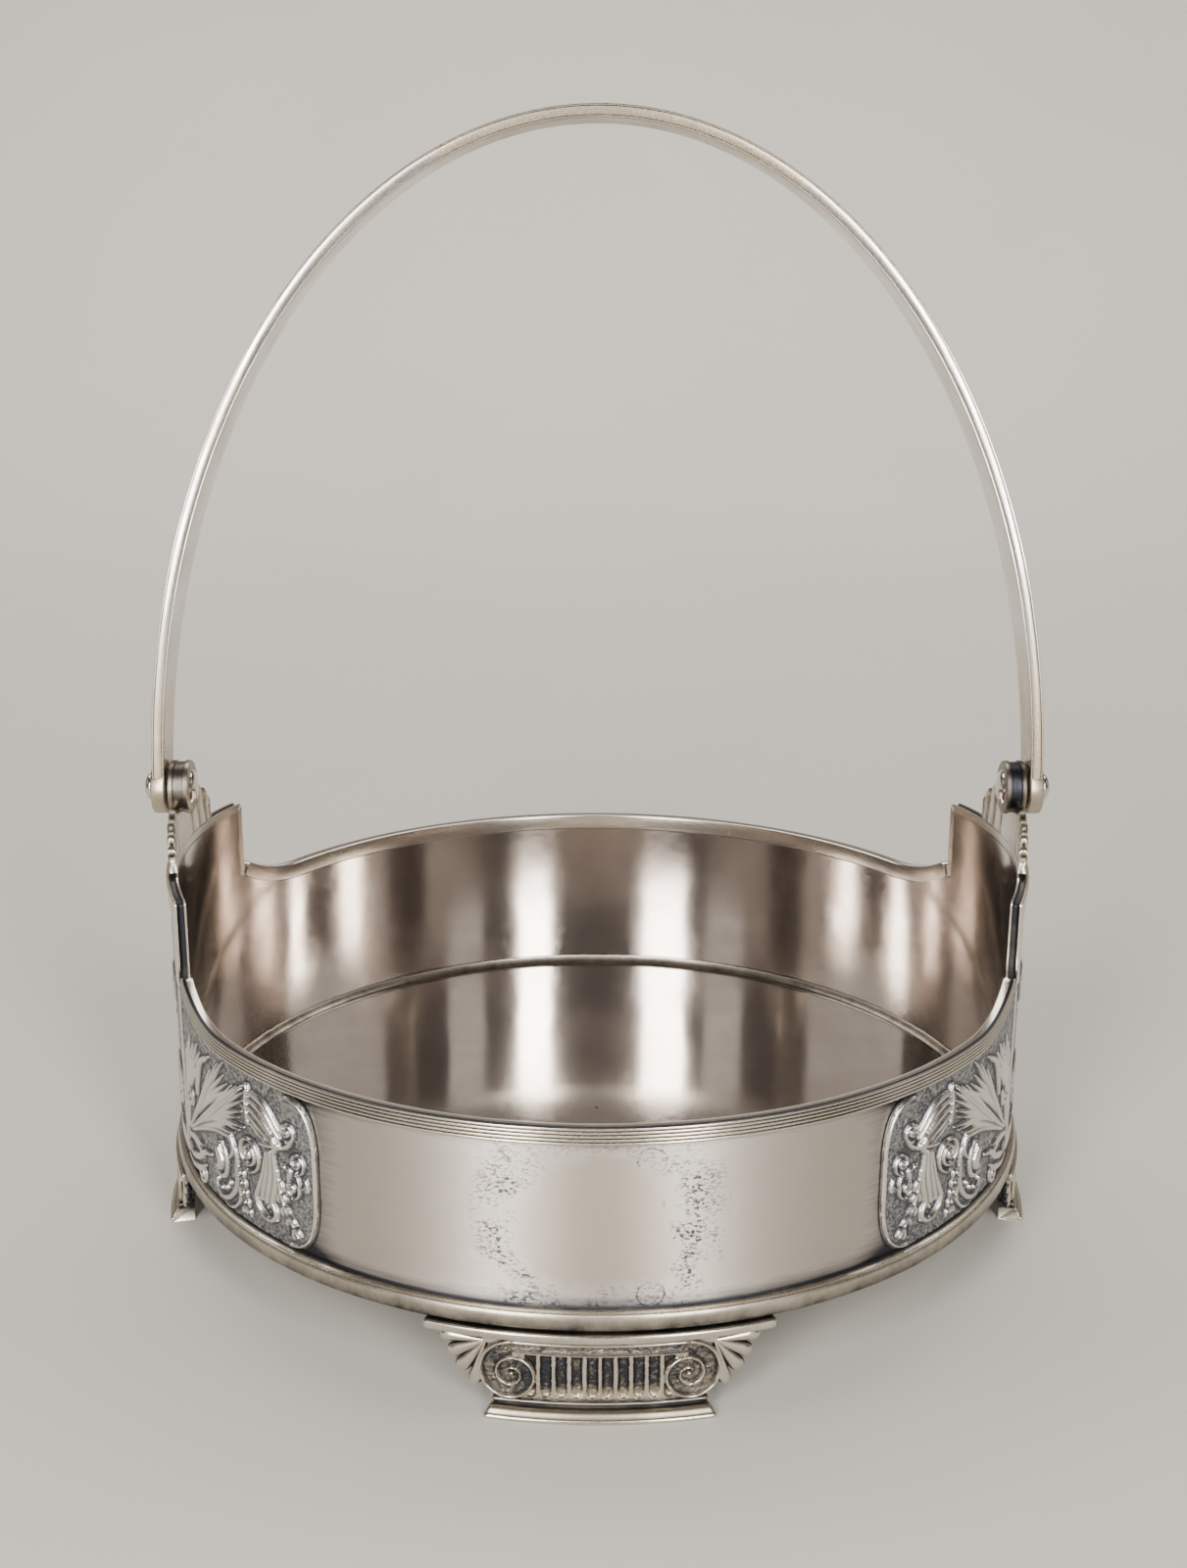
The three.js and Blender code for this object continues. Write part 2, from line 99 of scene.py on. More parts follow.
# Mesh helpers
def addPiece(name, points, faces, look, nodes=(), body="basket", sharp=40, patinaAndShade=None):
    mesh = bpy.data.meshes.new(name)
    mesh.from_pydata((np.asarray(points).reshape(-1, 3) * metre).tolist(), [], faces)
    shell = bmesh.new()
    shell.from_mesh(mesh)
    bmesh.ops.recalc_face_normals(shell, faces=shell.faces)
    shell.to_mesh(mesh)
    shell.free()
    mesh.polygons.foreach_set("use_smooth", [True] * len(mesh.polygons))
    mesh.set_sharp_from_angle(angle=math.radians(sharp))
    # per-point tarnish, with painted shade on some parts
    if patinaAndShade is not None:
        layer = mesh.attributes.new("patinaAndShade", "FLOAT", "POINT")
        layer.data.foreach_set("value", np.asarray(patinaAndShade, dtype=np.float32).ravel())
    mesh.validate()
    piece = bpy.data.objects.new(name, mesh)
    bpy.context.collection.objects.link(piece)
    mesh.materials.append(looks[look])
    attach(piece, body)
    if nodes:
        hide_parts(*nodes)
    return piece


def gridFaces(rows, columns, closeRows=False, closeColumns=False):
    i, j = np.meshgrid(np.arange(rows if closeRows else rows - 1),
                       np.arange(columns if closeColumns else columns - 1), indexing="ij")
    above, beside = (i + 1) % rows, (j + 1) % columns
    corners = [i * columns + j, i * columns + beside, above * columns + beside, above * columns + j]
    return np.stack(corners, axis=-1).reshape(-1, 4).tolist()


def lofted(sections, closed=False):
    # sections: rows of points, each row one closed ring; ends are capped unless the loft closes
    sections = np.asarray(sections)
    rows, columns = sections.shape[:2]
    faces = gridFaces(rows, columns, closeRows=closed, closeColumns=True)
    if not closed:
        faces.append(list(range(columns))[::-1])
        faces.append(list(range((rows - 1) * columns, rows * columns)))
    return sections.reshape(-1, 3), faces


def joined(parts):
    points, faces, count = [], [], 0
    for partPoints, partFaces in parts:
        partPoints = np.asarray(partPoints).reshape(-1, 3)
        points.append(partPoints)
        faces += [[i + count for i in face] for face in partFaces]
        count += len(partPoints)
    return np.concatenate(points), faces


def turnedRing(profile, steps=288):
    # profile: closed ring of (radius, height), turned about the basket's axis
    radii, heights = np.array(profile, float).T
    turns = np.arange(steps)[:, None] / steps * 2 * math.pi
    rings = np.broadcast_arrays(radii * np.cos(turns), radii * np.sin(turns), heights)
    return lofted(np.stack(rings, axis=-1), closed=True)


def turnedAlongX(profile, up, side=1, steps=64):
    # profile: (radius, x) from axis to axis, turned about a line along X at a height; side -1 mirrors it
    radii, along = np.array(profile, float).T
    turns = np.arange(steps)[:, None] / steps * 2 * math.pi
    rings = np.broadcast_arrays(along[1:-1], radii[1:-1] * np.cos(turns), up + radii[1:-1] * np.sin(turns))
    rings = np.stack(rings, axis=-1).reshape(-1, 3)
    points = np.concatenate([rings, [[along[0], 0, up], [along[-1], 0, up]]]) * (side, 1, 1)
    count, first = len(radii) - 2, len(rings)
    faces = gridFaces(steps, count, closeRows=True)
    for i in range(steps):
        j = (i + 1) % steps
        faces += [[first, i * count, j * count], [first + 1, j * count + count - 1, i * count + count - 1]]
    return points, faces


def reliefPlate(across, heights, radii, back, facing):
    # a curved plate with a relief front; rows run up, columns along the wall
    rows, columns = radii.shape
    front = onRound(radii, across, heights, facing).reshape(-1, 3)
    low = onRound(back, across[0], heights[0], facing)
    high = onRound(back, across[-1], heights[-1], facing)
    base, top, end = rows * columns, rows * columns + columns, (rows - 1) * columns
    faces = gridFaces(rows, columns)
    for j in range(columns - 1):
        faces += [[base + j, top + j, top + j + 1, base + j + 1], [j, j + 1, base + j + 1, base + j],
                  [end + j, top + j, top + j + 1, end + j + 1]]
    middle = rows // 2
    for j in (0, columns - 1):
        faces += [[i * columns + j, (i + 1) * columns + j, (base if i < middle else top) + j]
                  for i in range(rows - 1)]
        faces.append([middle * columns + j, top + j, base + j])
    return np.concatenate([front, low, high]), faces


def sweptBand(section, halfWidth, facing, steps=60, endRound=0.6):
    # a level band from a closed section of (radius, height, how much shorter), its ends rounded off
    radii, heights, shorter = np.array(section, float).T
    rows = []
    for share in np.sin(np.linspace(-quarter, quarter, steps + 1)):
        near = max(0.0, endRound - (1 - abs(share)) * halfWidth)
        cut = endRound - math.sqrt(endRound ** 2 - near ** 2)
        across = share * (halfWidth - shorter)
        rows.append(onRound(np.maximum(radii - cut, radii.min()), across, heights, facing))
    return lofted(rows)


# Node helpers
def addNode(tree, kind, inputs=None, **settings):
    node = tree.nodes.new(kind)
    for key, value in settings.items():
        setattr(node, key, value)
    for key, value in (inputs or {}).items():
        if isinstance(value, bpy.types.NodeSocket):
            tree.links.new(value, node.inputs[key])
        else:
            node.inputs[key].default_value = value
    return node


def colourMix(tree, share, first, second):
    return addNode(tree, "ShaderNodeMix", {0: share, 6: first, 7: second}, data_type="RGBA").outputs[2]


def spread(tree, value, low, high, to=(0.0, 1.0)):
    # maps low..high to the given ends, and stops there
    node = addNode(tree, "ShaderNodeMapRange", {"Value": value, "From Min": low, "From Max": high,
                                                "To Min": to[0], "To Max": to[1]})
    return node.outputs["Result"]


def combine(tree, how, *values):
    # all the values together, two at a time
    result = values[0]
    for value in values[1:]:
        result = addNode(tree, "ShaderNodeMath", {0: result, 1: value}, operation=how).outputs[0]
    return result


def plus(tree, *values):
    return combine(tree, "ADD", *values)


def times(tree, *values):
    return combine(tree, "MULTIPLY", *values)


def absolute(tree, value):
    return combine(tree, "ABSOLUTE", value, 0.0)


def apart(tree, value, middle):
    return combine(tree, "SUBTRACT", value, middle)


def ownPlace(tree, stretch=(1, 1, 1)):
    place = addNode(tree, "ShaderNodeTexCoord").outputs["Object"]
    return addNode(tree, "ShaderNodeMapping", {"Vector": place, "Scale": stretch}).outputs["Vector"]


def noise(tree, place, scale, detail=3.0, rough=0.55):
    node = addNode(tree, "ShaderNodeTexNoise", {"Vector": place, "Scale": scale, "Detail": detail,
                                                "Roughness": rough})
    return node.outputs["Fac"]


def silverLook(name, values, extra=None):
    # silver that turns brassy under thin tarnish and slate grey where the tarnish is thick; painted shade,
    # carried with the tarnish in one attribute, darkens it the same way
    look = bpy.data.materials.new(name)
    look.use_nodes = True
    tree = look.node_tree
    shader = tree.nodes["Principled BSDF"]
    shader.inputs["Metallic"].default_value = 1.0
    place = ownPlace(tree)
    cloud = spread(tree, noise(tree, place, values["cloudScale"], 5.0, 0.65), 0.36, 0.68)
    # tarnish, and painted shade on some parts, read from the mesh's attribute
    hollow = addNode(tree, "ShaderNodeAttribute", attribute_name="patinaAndShade").outputs["Fac"]
    darkness = plus(tree, hollow, times(tree, cloud, values["cloudShare"]))
    if extra:
        darkness = plus(tree, darkness, extra(tree, place))
    tone, brassAt = (*values["clean"], 1), values["brassAt"]
    for colour, start, end in ((values["brass"], 0.0, brassAt), (values["slate"], brassAt, 1.0)):
        tone = colourMix(tree, spread(tree, darkness, start, end), tone, (*colour, 1))
    tree.links.new(tone, shader.inputs["Base Color"])
    fine = noise(tree, ownPlace(tree, values["brush"]), values["brushScale"], 3.0, 0.6)
    rough = plus(tree, spread(tree, darkness, 0.0, 1.0, values["roughness"]),
                 spread(tree, fine, 0.3, 0.7, (-values["grain"], values["grain"])))
    tree.links.new(rough, shader.inputs["Roughness"])
    waves = addNode(tree, "ShaderNodeBump", {"Height": noise(tree, place, values["waveScale"], 2.0, 0.5),
                                             "Strength": 1.0, "Distance": values["wave"] * metre})
    bump = addNode(tree, "ShaderNodeBump", {"Height": fine, "Strength": 1.0, "Distance": values["bump"] * metre,
                                            "Normal": waves.outputs["Normal"]})
    tree.links.new(bump.outputs["Normal"], shader.inputs["Normal"])
    if values["brushed"]:
        shader.inputs["Anisotropic"].default_value = values["brushed"]
        shader.inputs["Anisotropic Rotation"].default_value = 0.25
        around = addNode(tree, "ShaderNodeTangent", direction_type="RADIAL", axis="Z")
        tree.links.new(around.outputs["Tangent"], shader.inputs["Tangent"])
    return look


# Tarnish on the outside of the wall, in mm: a rubbed patch with a speckled edge, and drops that dried in rings
tarnish = {
    "patch": (-0.8, 48.0), "patchSize": (16.8, 16.0), "patchPower": (2.6, 4.0), "patchEdge": (0.85, 1.15),
    "film": 0.14, "streaks": 0.17, "speck": 900.0, "speckSize": (0.50, 0.56), "speckDark": 1.0,
    "crowdStart": (0.92, 1.08), "crowdEnd": (1.1, 5.5), "crowdSide": (13.0, 19.0), "crowdAbove": 0.35,
    # where it starts to darken, where it is darkest, and how dark it is there
    "side": (56.0, 68.5, 0.55), "low": (34.0, ringHigh, 0.55), "high": (63.5, rimUnder, 0.35),
    "rings": ((19.8, 45.6, 1.9), (18.2, 37.4, 1.6), (11.4, 63.6, 3.3), (-20.6, 44.6, 1.0), (11.4, 30.2, 3.1)),
    "ringWidth": 0.3, "ringDark": 0.42,
}


def wallTarnish(tree, place):
    axes = addNode(tree, "ShaderNodeSeparateXYZ", {0: place}).outputs
    along, up = [combine(tree, "DIVIDE", axes[i], metre) for i in (0, 2)]
    side, front = absolute(tree, along), combine(tree, "LESS_THAN", axes[1], 0.0)
    small = spread(tree, noise(tree, place, 420.0, 6.0, 0.7), 0.3, 0.7, (-0.3, 0.3))
    reach = plus(tree, small, spread(tree, noise(tree, place, 55.0, 2.0, 0.5), 0.3, 0.7, (-0.5, 0.5)))
    patch = zip((along, up), tarnish["patch"], tarnish["patchSize"], tarnish["patchPower"])
    for way, middle, size, power in patch:
        away = absolute(tree, combine(tree, "DIVIDE", apart(tree, way, middle), size))
        reach = plus(tree, reach, combine(tree, "POWER", away, power))
    outOf = combine(tree, "MAXIMUM", spread(tree, reach, *tarnish["patchEdge"]), apart(tree, 1.0, front))
    level = spread(tree, noise(tree, ownPlace(tree, (1, 1, 16)), 75.0, 4.0, 0.6), 0.32, 0.68)
    level = plus(tree, times(tree, level, tarnish["streaks"]), tarnish["film"])
    # specks crowd along the edge of the patch, most of them beside it, and lie level with the brushing
    specks = noise(tree, ownPlace(tree, (1, 1, 1.9)), tarnish["speck"], 3.0, 0.65)
    specks = times(
        tree, spread(tree, specks, *tarnish["speckSize"]), tarnish["speckDark"], front,
        spread(tree, reach, *tarnish["crowdStart"]), spread(tree, reach, *tarnish["crowdEnd"], (1.0, 0.0)),
        spread(tree, noise(tree, place, 150.0, 4.0), 0.38, 0.56),
        spread(tree, side, *tarnish["crowdSide"], (tarnish["crowdAbove"], 1.0)))
    darkness = plus(tree, times(tree, outOf, level), specks)
    for where, edge in ((side, "side"), (up, "low"), (up, "high")):
        start, end, dark = tarnish[edge]
        rise = combine(tree, "POWER", spread(tree, where, start, end), 2.0)
        darkness = plus(tree, darkness, times(tree, rise, dark))
    for *centre, radius in tarnish["rings"]:
        squares = [combine(tree, "POWER", apart(tree, way, middle), 2.0)
                   for way, middle in zip((along, up), centre)]
        away = plus(tree, combine(tree, "POWER", plus(tree, *squares), 0.5), small)
        away = absolute(tree, apart(tree, away, radius))
        mark = spread(tree, away, 0.0, tarnish["ringWidth"], (tarnish["ringDark"], 0.0))
        darkness = plus(tree, darkness, times(tree, mark, front))
    return darkness


# Finishes; what a finish doesn't name is that of cast silver
cast = {"brassAt": 0.35, "brush": (1, 1, 1), "brushScale": 2200.0, "grain": 0.04, "bump": 0.0015,
        "waveScale": 60.0, "wave": 0.02, "brushed": 0.0}
finishes = {
    "polished_silver": {
        "clean": (0.725, 0.675, 0.635), "brass": (0.57, 0.50, 0.45), "slate": (0.11, 0.10, 0.10),
        "brassAt": 0.5, "cloudScale": 30.0, "cloudShare": 0.35, "roughness": (0.09, 0.30), "brush": (1, 1, 9),
        "brushScale": 420.0, "grain": 0.03, "bump": 0.003, "waveScale": 26.0, "wave": 0.22, "brushed": 0.5},
    "basket_floor_silver": {
        "clean": (0.74, 0.70, 0.67), "brass": (0.58, 0.52, 0.47), "slate": (0.11, 0.10, 0.10), "brassAt": 0.5,
        "cloudScale": 26.0, "cloudShare": 0.4, "roughness": (0.09, 0.28), "brush": (1, 7, 1),
        "brushScale": 300.0, "grain": 0.03, "bump": 0.002, "waveScale": 22.0, "wave": 0.16},
    "satin_silver": {
        "clean": (0.76, 0.71, 0.65), "brass": (0.50, 0.44, 0.34), "slate": (0.032, 0.033, 0.040),
        "cloudScale": 45.0, "cloudShare": 0.26, "roughness": (0.18, 0.42)},
    "worn_warm_silver": {
        "clean": (0.70, 0.655, 0.60), "brass": (0.53, 0.475, 0.385), "slate": (0.040, 0.041, 0.048),
        "brassAt": 0.4, "cloudScale": 110.0, "cloudShare": 0.32, "roughness": (0.20, 0.42)},
    "capital_silver": {
        "clean": (0.74, 0.69, 0.63), "brass": (0.48, 0.42, 0.32), "slate": (0.045, 0.047, 0.055),
        "cloudScale": 110.0, "cloudShare": 0.24, "roughness": (0.18, 0.5), "brushScale": 2600.0,
        "grain": 0.05, "bump": 0.002, "waveScale": 90.0},
    "handle_silver": {
        "clean": (0.80, 0.76, 0.72), "brass": (0.52, 0.44, 0.34), "slate": (0.05, 0.05, 0.06), "brassAt": 0.4,
        "cloudScale": 40.0, "cloudShare": 0.3, "roughness": (0.16, 0.42), "wave": 0.03},
    "brushed_wall_silver": {
        "clean": (0.63, 0.56, 0.475), "brass": (0.66, 0.605, 0.55), "slate": (0.075, 0.076, 0.090),
        "brassAt": 0.4, "cloudScale": 20.0, "cloudShare": 0.10, "roughness": (0.40, 0.54),
        "brush": (1, 1, 16), "brushScale": 230.0, "grain": 0.05, "bump": 0.004, "waveScale": 24.0,
        "wave": 0.12, "brushed": 0.85},
    "darkened_relief_silver": {
        "clean": (0.76, 0.72, 0.66), "brass": (0.44, 0.43, 0.42), "slate": (0.095, 0.102, 0.122),
        "cloudScale": 60.0, "cloudShare": 0.16, "roughness": (0.20, 0.50), "brushScale": 2600.0,
        "grain": 0.05, "bump": 0.003, "waveScale": 90.0},
}
extras = {"brushed_wall_silver": wallTarnish}
looks = {name: silverLook(name, {**cast, **values}, extras.get(name)) for name, values in finishes.items()}
print("looks made")


# Floor of the basket: a flat disc, turned down a little at its edge
floor = {"radius": floorRadius, "edge": 0.15, "middle": 0.5, "rings": 40}


def makeFloor():
    radius, edge, middle = floor["radius"], floor["edge"], floor["middle"]
    radii = [*np.linspace(middle, radius - 2, floor["rings"]), radius - edge, radius, radius]
    heights = [floorHigh] * (floor["rings"] + 1) + [floorHigh - edge, floorLow]
    points, faces = turnedRing([*zip(radii, heights), (middle, floorLow)])
    addPiece("basket_floor", points, faces, "basket_floor_silver", ["floor_plate"])


# Base moulding: a swelling band outside, the wall's seat and a cove inside, and the floor's ledge
moulding = {
    "bandHeight": 5.6, "bandOut": 2.5, "soleOut": 1.5, "seat": 1.1, "neckTaper": 1.8, "neckOut": -0.9,
    "cove": 2.0, "ledge": 3.5, "ledgeThickness": 0.8, "ridgeOut": 1.75, "ridgeUp": 4.65, "bandUp": 2.6,
    "lowRound": (1.0, 1.4), "highRound": (0.75, 1.9), "ridgeStep": (0.35, 0.1), "grooveStep": (0.25, 0.35),
    # darkness of the groove and the cove (tarnish), of the band at its bottom and its fall per mm up (tarnish
    # and painted shade), and of the underside (painted shade)
    "grooveDark": 0.95, "bandTarnishAndShade": (0.84, 0.13), "coveDark": 0.56, "solePaintedShade": 0.9,
}


def makeBaseMoulding():
    bottom = ringHigh - moulding["bandHeight"]
    seat = bottom + moulding["seat"]
    coveInner = wallInner - moulding["cove"]
    ledgeInner, ledgeHigh = coveInner - moulding["ledge"], neckLow + moulding["ledgeThickness"]
    neck, out = wallOuter + moulding["neckOut"], wallOuter + moulding["bandOut"]
    bandUp = bottom + moulding["bandUp"]
    ridgeOut, ridgeUp = wallOuter + moulding["ridgeOut"], bottom + moulding["ridgeUp"]
    (lowOut, lowUp), (highOut, highUp) = moulding["lowRound"], moulding["highRound"]
    turns = np.linspace(0, quarter, 9)[1:]
    profile = [
        (ledgeInner, neckLow),
        (neck - moulding["neckTaper"], neckLow),
        (neck, bottom - 0.05),
        (wallOuter + moulding["soleOut"], bottom),
        *[(out - lowOut * (1 - math.sin(t)), bottom + lowUp * (1 - math.cos(t))) for t in turns],
        (out, bandUp),
        *[(out - highOut * (1 - math.cos(t)), bandUp + highUp * math.sin(t)) for t in turns],
        (ridgeOut, ridgeUp),
        (ridgeOut - moulding["ridgeStep"][0], ridgeUp + moulding["ridgeStep"][1]),
        (onWall + moulding["grooveStep"][0], ringHigh - moulding["grooveStep"][1]),
        (onWall, ringHigh),
        (onWall, seat),
        (wallInner, seat),
        *[(wallInner - moulding["cove"] * share, floorHigh + (seat - floorHigh) * (1 - share) ** 2)
          for share in (0.12, 0.3, 0.5, 0.7, 0.88, 1.0)],
        (coveInner, ledgeHigh),
        (ledgeInner, ledgeHigh),
    ]
    # tarnish lies in the groove above the ridge and in the cove, and turns the band below the ridge brassy
    shades = []
    for out, up in profile:
        if abs(up - ringHigh) < 0.4:
            shades.append(moulding["grooveDark"])
        # painted shade darkens the band below the ridge towards its bottom
        elif up < ridgeUp - 0.05 and out > neck:
            shades.append(moulding["bandTarnishAndShade"][0] - moulding["bandTarnishAndShade"][1] * (up - bottom))
        elif coveInner - 0.1 < out < wallInner - 0.1 and up > floorLow:
            shades.append(moulding["coveDark"])
        # painted shade covers the ring's underside
        else:
            shades.append(moulding["solePaintedShade"] * (up < bottom + 0.1))
    points, faces = turnedRing(profile)
    addPiece("base_ring", points, faces, "worn_warm_silver", ["base_moulding"],
             patinaAndShade=np.tile(shades, len(points) // len(profile)))


def rimEdge(reach):
    # height and slope of the rim's top at a distance from the ear
    rise, length = body["sweepRise"], body["sweepLength"]
    share = np.clip(1 - np.asarray(reach) / length, 0, 1)
    return rimTop + rise * share ** 2, np.arctan(2 * rise / length * share)


def earEdge(across):
    return earTop - body["earCrown"] * (np.asarray(across) / earHalf) ** 2


# Wall: one thin band, cut down to the rim between the ears
def makeWall():
    inner = earHalf - earInset
    around = quarter * 2 * wallOuter
    drop = body["rimHeight"] + gap
    stations = []
    for facing in (0.0, math.pi):
        for across in np.linspace(-inner, inner, 61):
            stations.append((facing + across / wallOuter, earEdge(across) - earInset))
        for across in np.linspace(inner + 0.02, around - inner - 0.02, 241):
            reach = min(across, around - across) - earHalf
            height, slope = rimEdge(max(reach, 0))
            top = min(height - drop / math.cos(slope), earLow - gap) if reach > 0 else earLow - gap
            stations.append((facing + across / wallOuter, top))
    sections = []
    for angle, top in stations:
        sections.append([(r * math.cos(angle), r * math.sin(angle), z) for r, z in (
            (wallInner, wallLow), (wallOuter, wallLow), (wallOuter, top), (wallInner, top))])
    points, faces = lofted(sections, closed=True)
    wall = addPiece("basket_wall", points, faces, "polished_silver", ["wall_band"])
    wall.data.materials.append(looks["brushed_wall_silver"])
    for face in wall.data.polygons:
        if math.hypot(*face.center[:2]) > (wallOuter - 0.05) * metre:
            face.material_index = 1


# Rim: a reeded moulding that sweeps up to each ear
rim = {"reeds": 5, "reedDepth": 0.5, "lipRound": 0.5, "hornRound": 1.6, "darkFrom": 0.06, "darkOver": 0.26}


def rimProfile():
    # (radius, how far below the top)
    deep, lip, pitch = rim["reedDepth"], rim["lipRound"], body["rimHeight"] / rim["reeds"]
    profile = [(wallInner, body["rimHeight"]), (wallInner, lip)]
    profile += [(wallInner + lip - lip * math.cos(t), lip - lip * math.sin(t)) for t in (0.5, 1.0, quarter)]
    profile += [(rimOuter - 2.4 * deep, 0.0), (rimOuter - 2 * deep, 0.0)]
    for reed in range(rim["reeds"]):
        for share in (0.04, 0.16, 0.32, 0.5, 0.68, 0.84, 0.96):
            bulge = math.sqrt(1 - abs(2 * share - 1) ** 2)
            profile.append((rimOuter - deep * (1 - bulge), pitch * (reed + share)))
    profile.append((rimOuter - 2 * deep, body["rimHeight"]))
    return profile


def makeRim(side):
    horn, profile = rim["hornRound"], rimProfile()
    level = rimHalf - body["sweepLength"]
    last = rimHalf - gap - body["rimHeight"] * math.sin(rimEdge(0)[1])
    tip = last - horn * (1 - np.sin(np.linspace(0, quarter, 8)))
    half = [*np.linspace(0, level, 90), *np.linspace(level, tip[0], 40)[1:], *tip[1:]]
    sections = []
    for offset in [-x for x in half[:0:-1]] + half:
        height, slope = rimEdge(rimHalf - abs(offset))
        turn = math.copysign(1.0, offset) * math.sin(slope)
        near = max(0.0, horn - (last - abs(offset)))
        cut = horn - math.sqrt(horn ** 2 - near ** 2)
        sections.append([onRound(r, offset + max(drop, cut) * turn, height - max(drop, cut) * math.cos(slope),
                                 facings[side]) for r, drop in profile])
    points, faces = lofted(sections)
    inwards = rimOuter - np.array(profile)[:, 0]
    shades = np.clip((inwards - rim["darkFrom"]) / rim["darkOver"], 0, 1) * (inwards < 2.2 * rim["reedDepth"])
    addPiece(side + "_rim", points, faces, "satin_silver", [side + "_rim_moulding"],
             sharp=50, patinaAndShade=np.tile(shades, len(sections)))


# Relief is drawn on a grid as rounded strokes along smooth lines; the highest stroke wins
def smoothLine(points, steps=7):
    points = np.asarray(points, float)
    if len(points) == 2:
        return points[0] + (points[1] - points[0]) * np.linspace(0, 1, steps)[:, None]
    ends = np.concatenate([[2 * points[0] - points[1]], points, [2 * points[-1] - points[-2]]])
    line = []
    for a, b, c, d in zip(ends, ends[1:], ends[2:], ends[3:]):
        for t in np.linspace(0, 1, steps, endpoint=False):
            line.append(0.5 * (2 * b + (c - a) * t + (2 * a - 5 * b + 4 * c - d) * t ** 2
                               + (3 * b - a - 3 * c + d) * t ** 3))
    return np.array(line + [points[-1]])


def stroke(field, points, widths, rise, groove=0.0, fullness=0.5):
    # widths are half widths, spread evenly along the line; a groove runs down its middle
    line = smoothLine(points)
    width = np.interp(np.linspace(0, 1, len(line)), np.linspace(0, 1, len(widths)), widths)
    low, high = line.min(0) - width.max(), line.max(0) + width.max()
    near = ((field["across"] > low[0]) & (field["across"] < high[0])
            & (field["height"] > low[1]) & (field["height"] < high[1]))
    if not near.any():
        return
    spot = np.stack([field["across"][near], field["height"][near]], axis=-1)[:, None]
    start, run = line[:-1], np.diff(line, axis=0)
    along = np.clip(((spot - start) * run).sum(-1) / np.maximum((run ** 2).sum(-1), 1e-9), 0, 1)
    away = np.linalg.norm(spot - start - along[..., None] * run, axis=-1)
    share = (away / (width[:-1] + (width[1:] - width[:-1]) * along)).min(axis=1)
    lift = rise * np.clip(1 - share ** 2, 0, None) ** fullness
    lift *= 1 - groove * np.exp(-(share / 0.42) ** 2)
    field["rise"][near] = np.maximum(field["rise"][near], lift)


def pearl(field, centre, radius, rise):
    away = np.hypot(field["across"] - centre[0], field["height"] - centre[1]) / radius
    field["rise"] = np.maximum(field["rise"], rise * np.sqrt(np.clip(1 - away ** 2, 0, None)))


def spiral(centre, radius, turns, start, hand=1, inner=0.15, steps=14):
    shares = np.linspace(0, 1, max(4, int(abs(turns) * steps)))
    angles = math.radians(start) + hand * shares * turns * 2 * math.pi
    reach = radius * (1 - (1 - inner) * shares)
    return [(centre[0] + r * math.cos(t), centre[1] + r * math.sin(t)) for r, t in zip(reach, angles)]


def leaf(field, root, middle, tips, width, rise):
    # long flowing lobes that share a root and part towards their tips
    for tip in tips:
        lean = 0.55 * (np.subtract(tip, middle)) * 0.35
        widths = np.multiply([0.4, 0.8, 0.85, 0.15], width)
        stroke(field, [root, np.add(middle, lean), tip], widths, rise, 0.2, 1.0)


def blurred(values, reach):
    padded = np.pad(values, reach, mode="edge").cumsum(0).cumsum(1)
    padded = np.pad(padded, ((1, 0), (1, 0)))
    size = 2 * reach + 1
    return (padded[size:, size:] - padded[:-size, size:] - padded[size:, :-size]
            + padded[:-size, :-size]) / size ** 2


def stippled(field, depth, seed):
    # hammered ground between the ornaments, and the dark patina that lies in every hollow
    grain = np.random.default_rng(seed).normal(size=field["rise"].shape)
    grain = blurred(grain, 1) + 0.16 * grain
    ground = np.clip(1 - field["rise"] / 0.3, 0, 1)
    hollow = np.clip((blurred(field["rise"], 4) - field["rise"]) / 0.4, 0, 1)
    crease = np.clip((blurred(field["rise"], 1) - field["rise"]) / 0.15, 0, 1)
    patinaAndShade = np.clip((0.66 - 0.42 * grain) * ground + 0.45 * hollow + 0.6 * crease, 0, 1)
    return field["rise"] + depth * grain * ground, patinaAndShade


# Relief panels beside the ears: acanthus, scrolls, a ribbon fan, husks and a laurel spray
panel = {
    "length": 65.2, "corner": 10.5, "cell": 0.21, "ground": 0.35, "bead": 1.0, "beadWidth": 0.45,
    "beadIn": 0.035, "stipple": 0.14, "lastShare": 0.35,
}


def panelOutline(across):
    # lowest and highest point of the panel at a distance from the ear
    low = ringHigh + gap
    half = (rimUnder - gap - low) / 2
    edge, slope = rimEdge(across)
    high = edge - (body["rimHeight"] + gap) / np.cos(slope)
    far = np.clip((panel["length"] - across) / panel["corner"], 0, 1)
    share = np.cbrt(np.clip(1 - (1 - far) ** 3, 0, 1))
    inCorner = across > panel["length"] - panel["corner"]
    return (np.where(inCorner, low + half * (1 - share), low),
            np.where(inCorner, low + half * (1 + share), high))


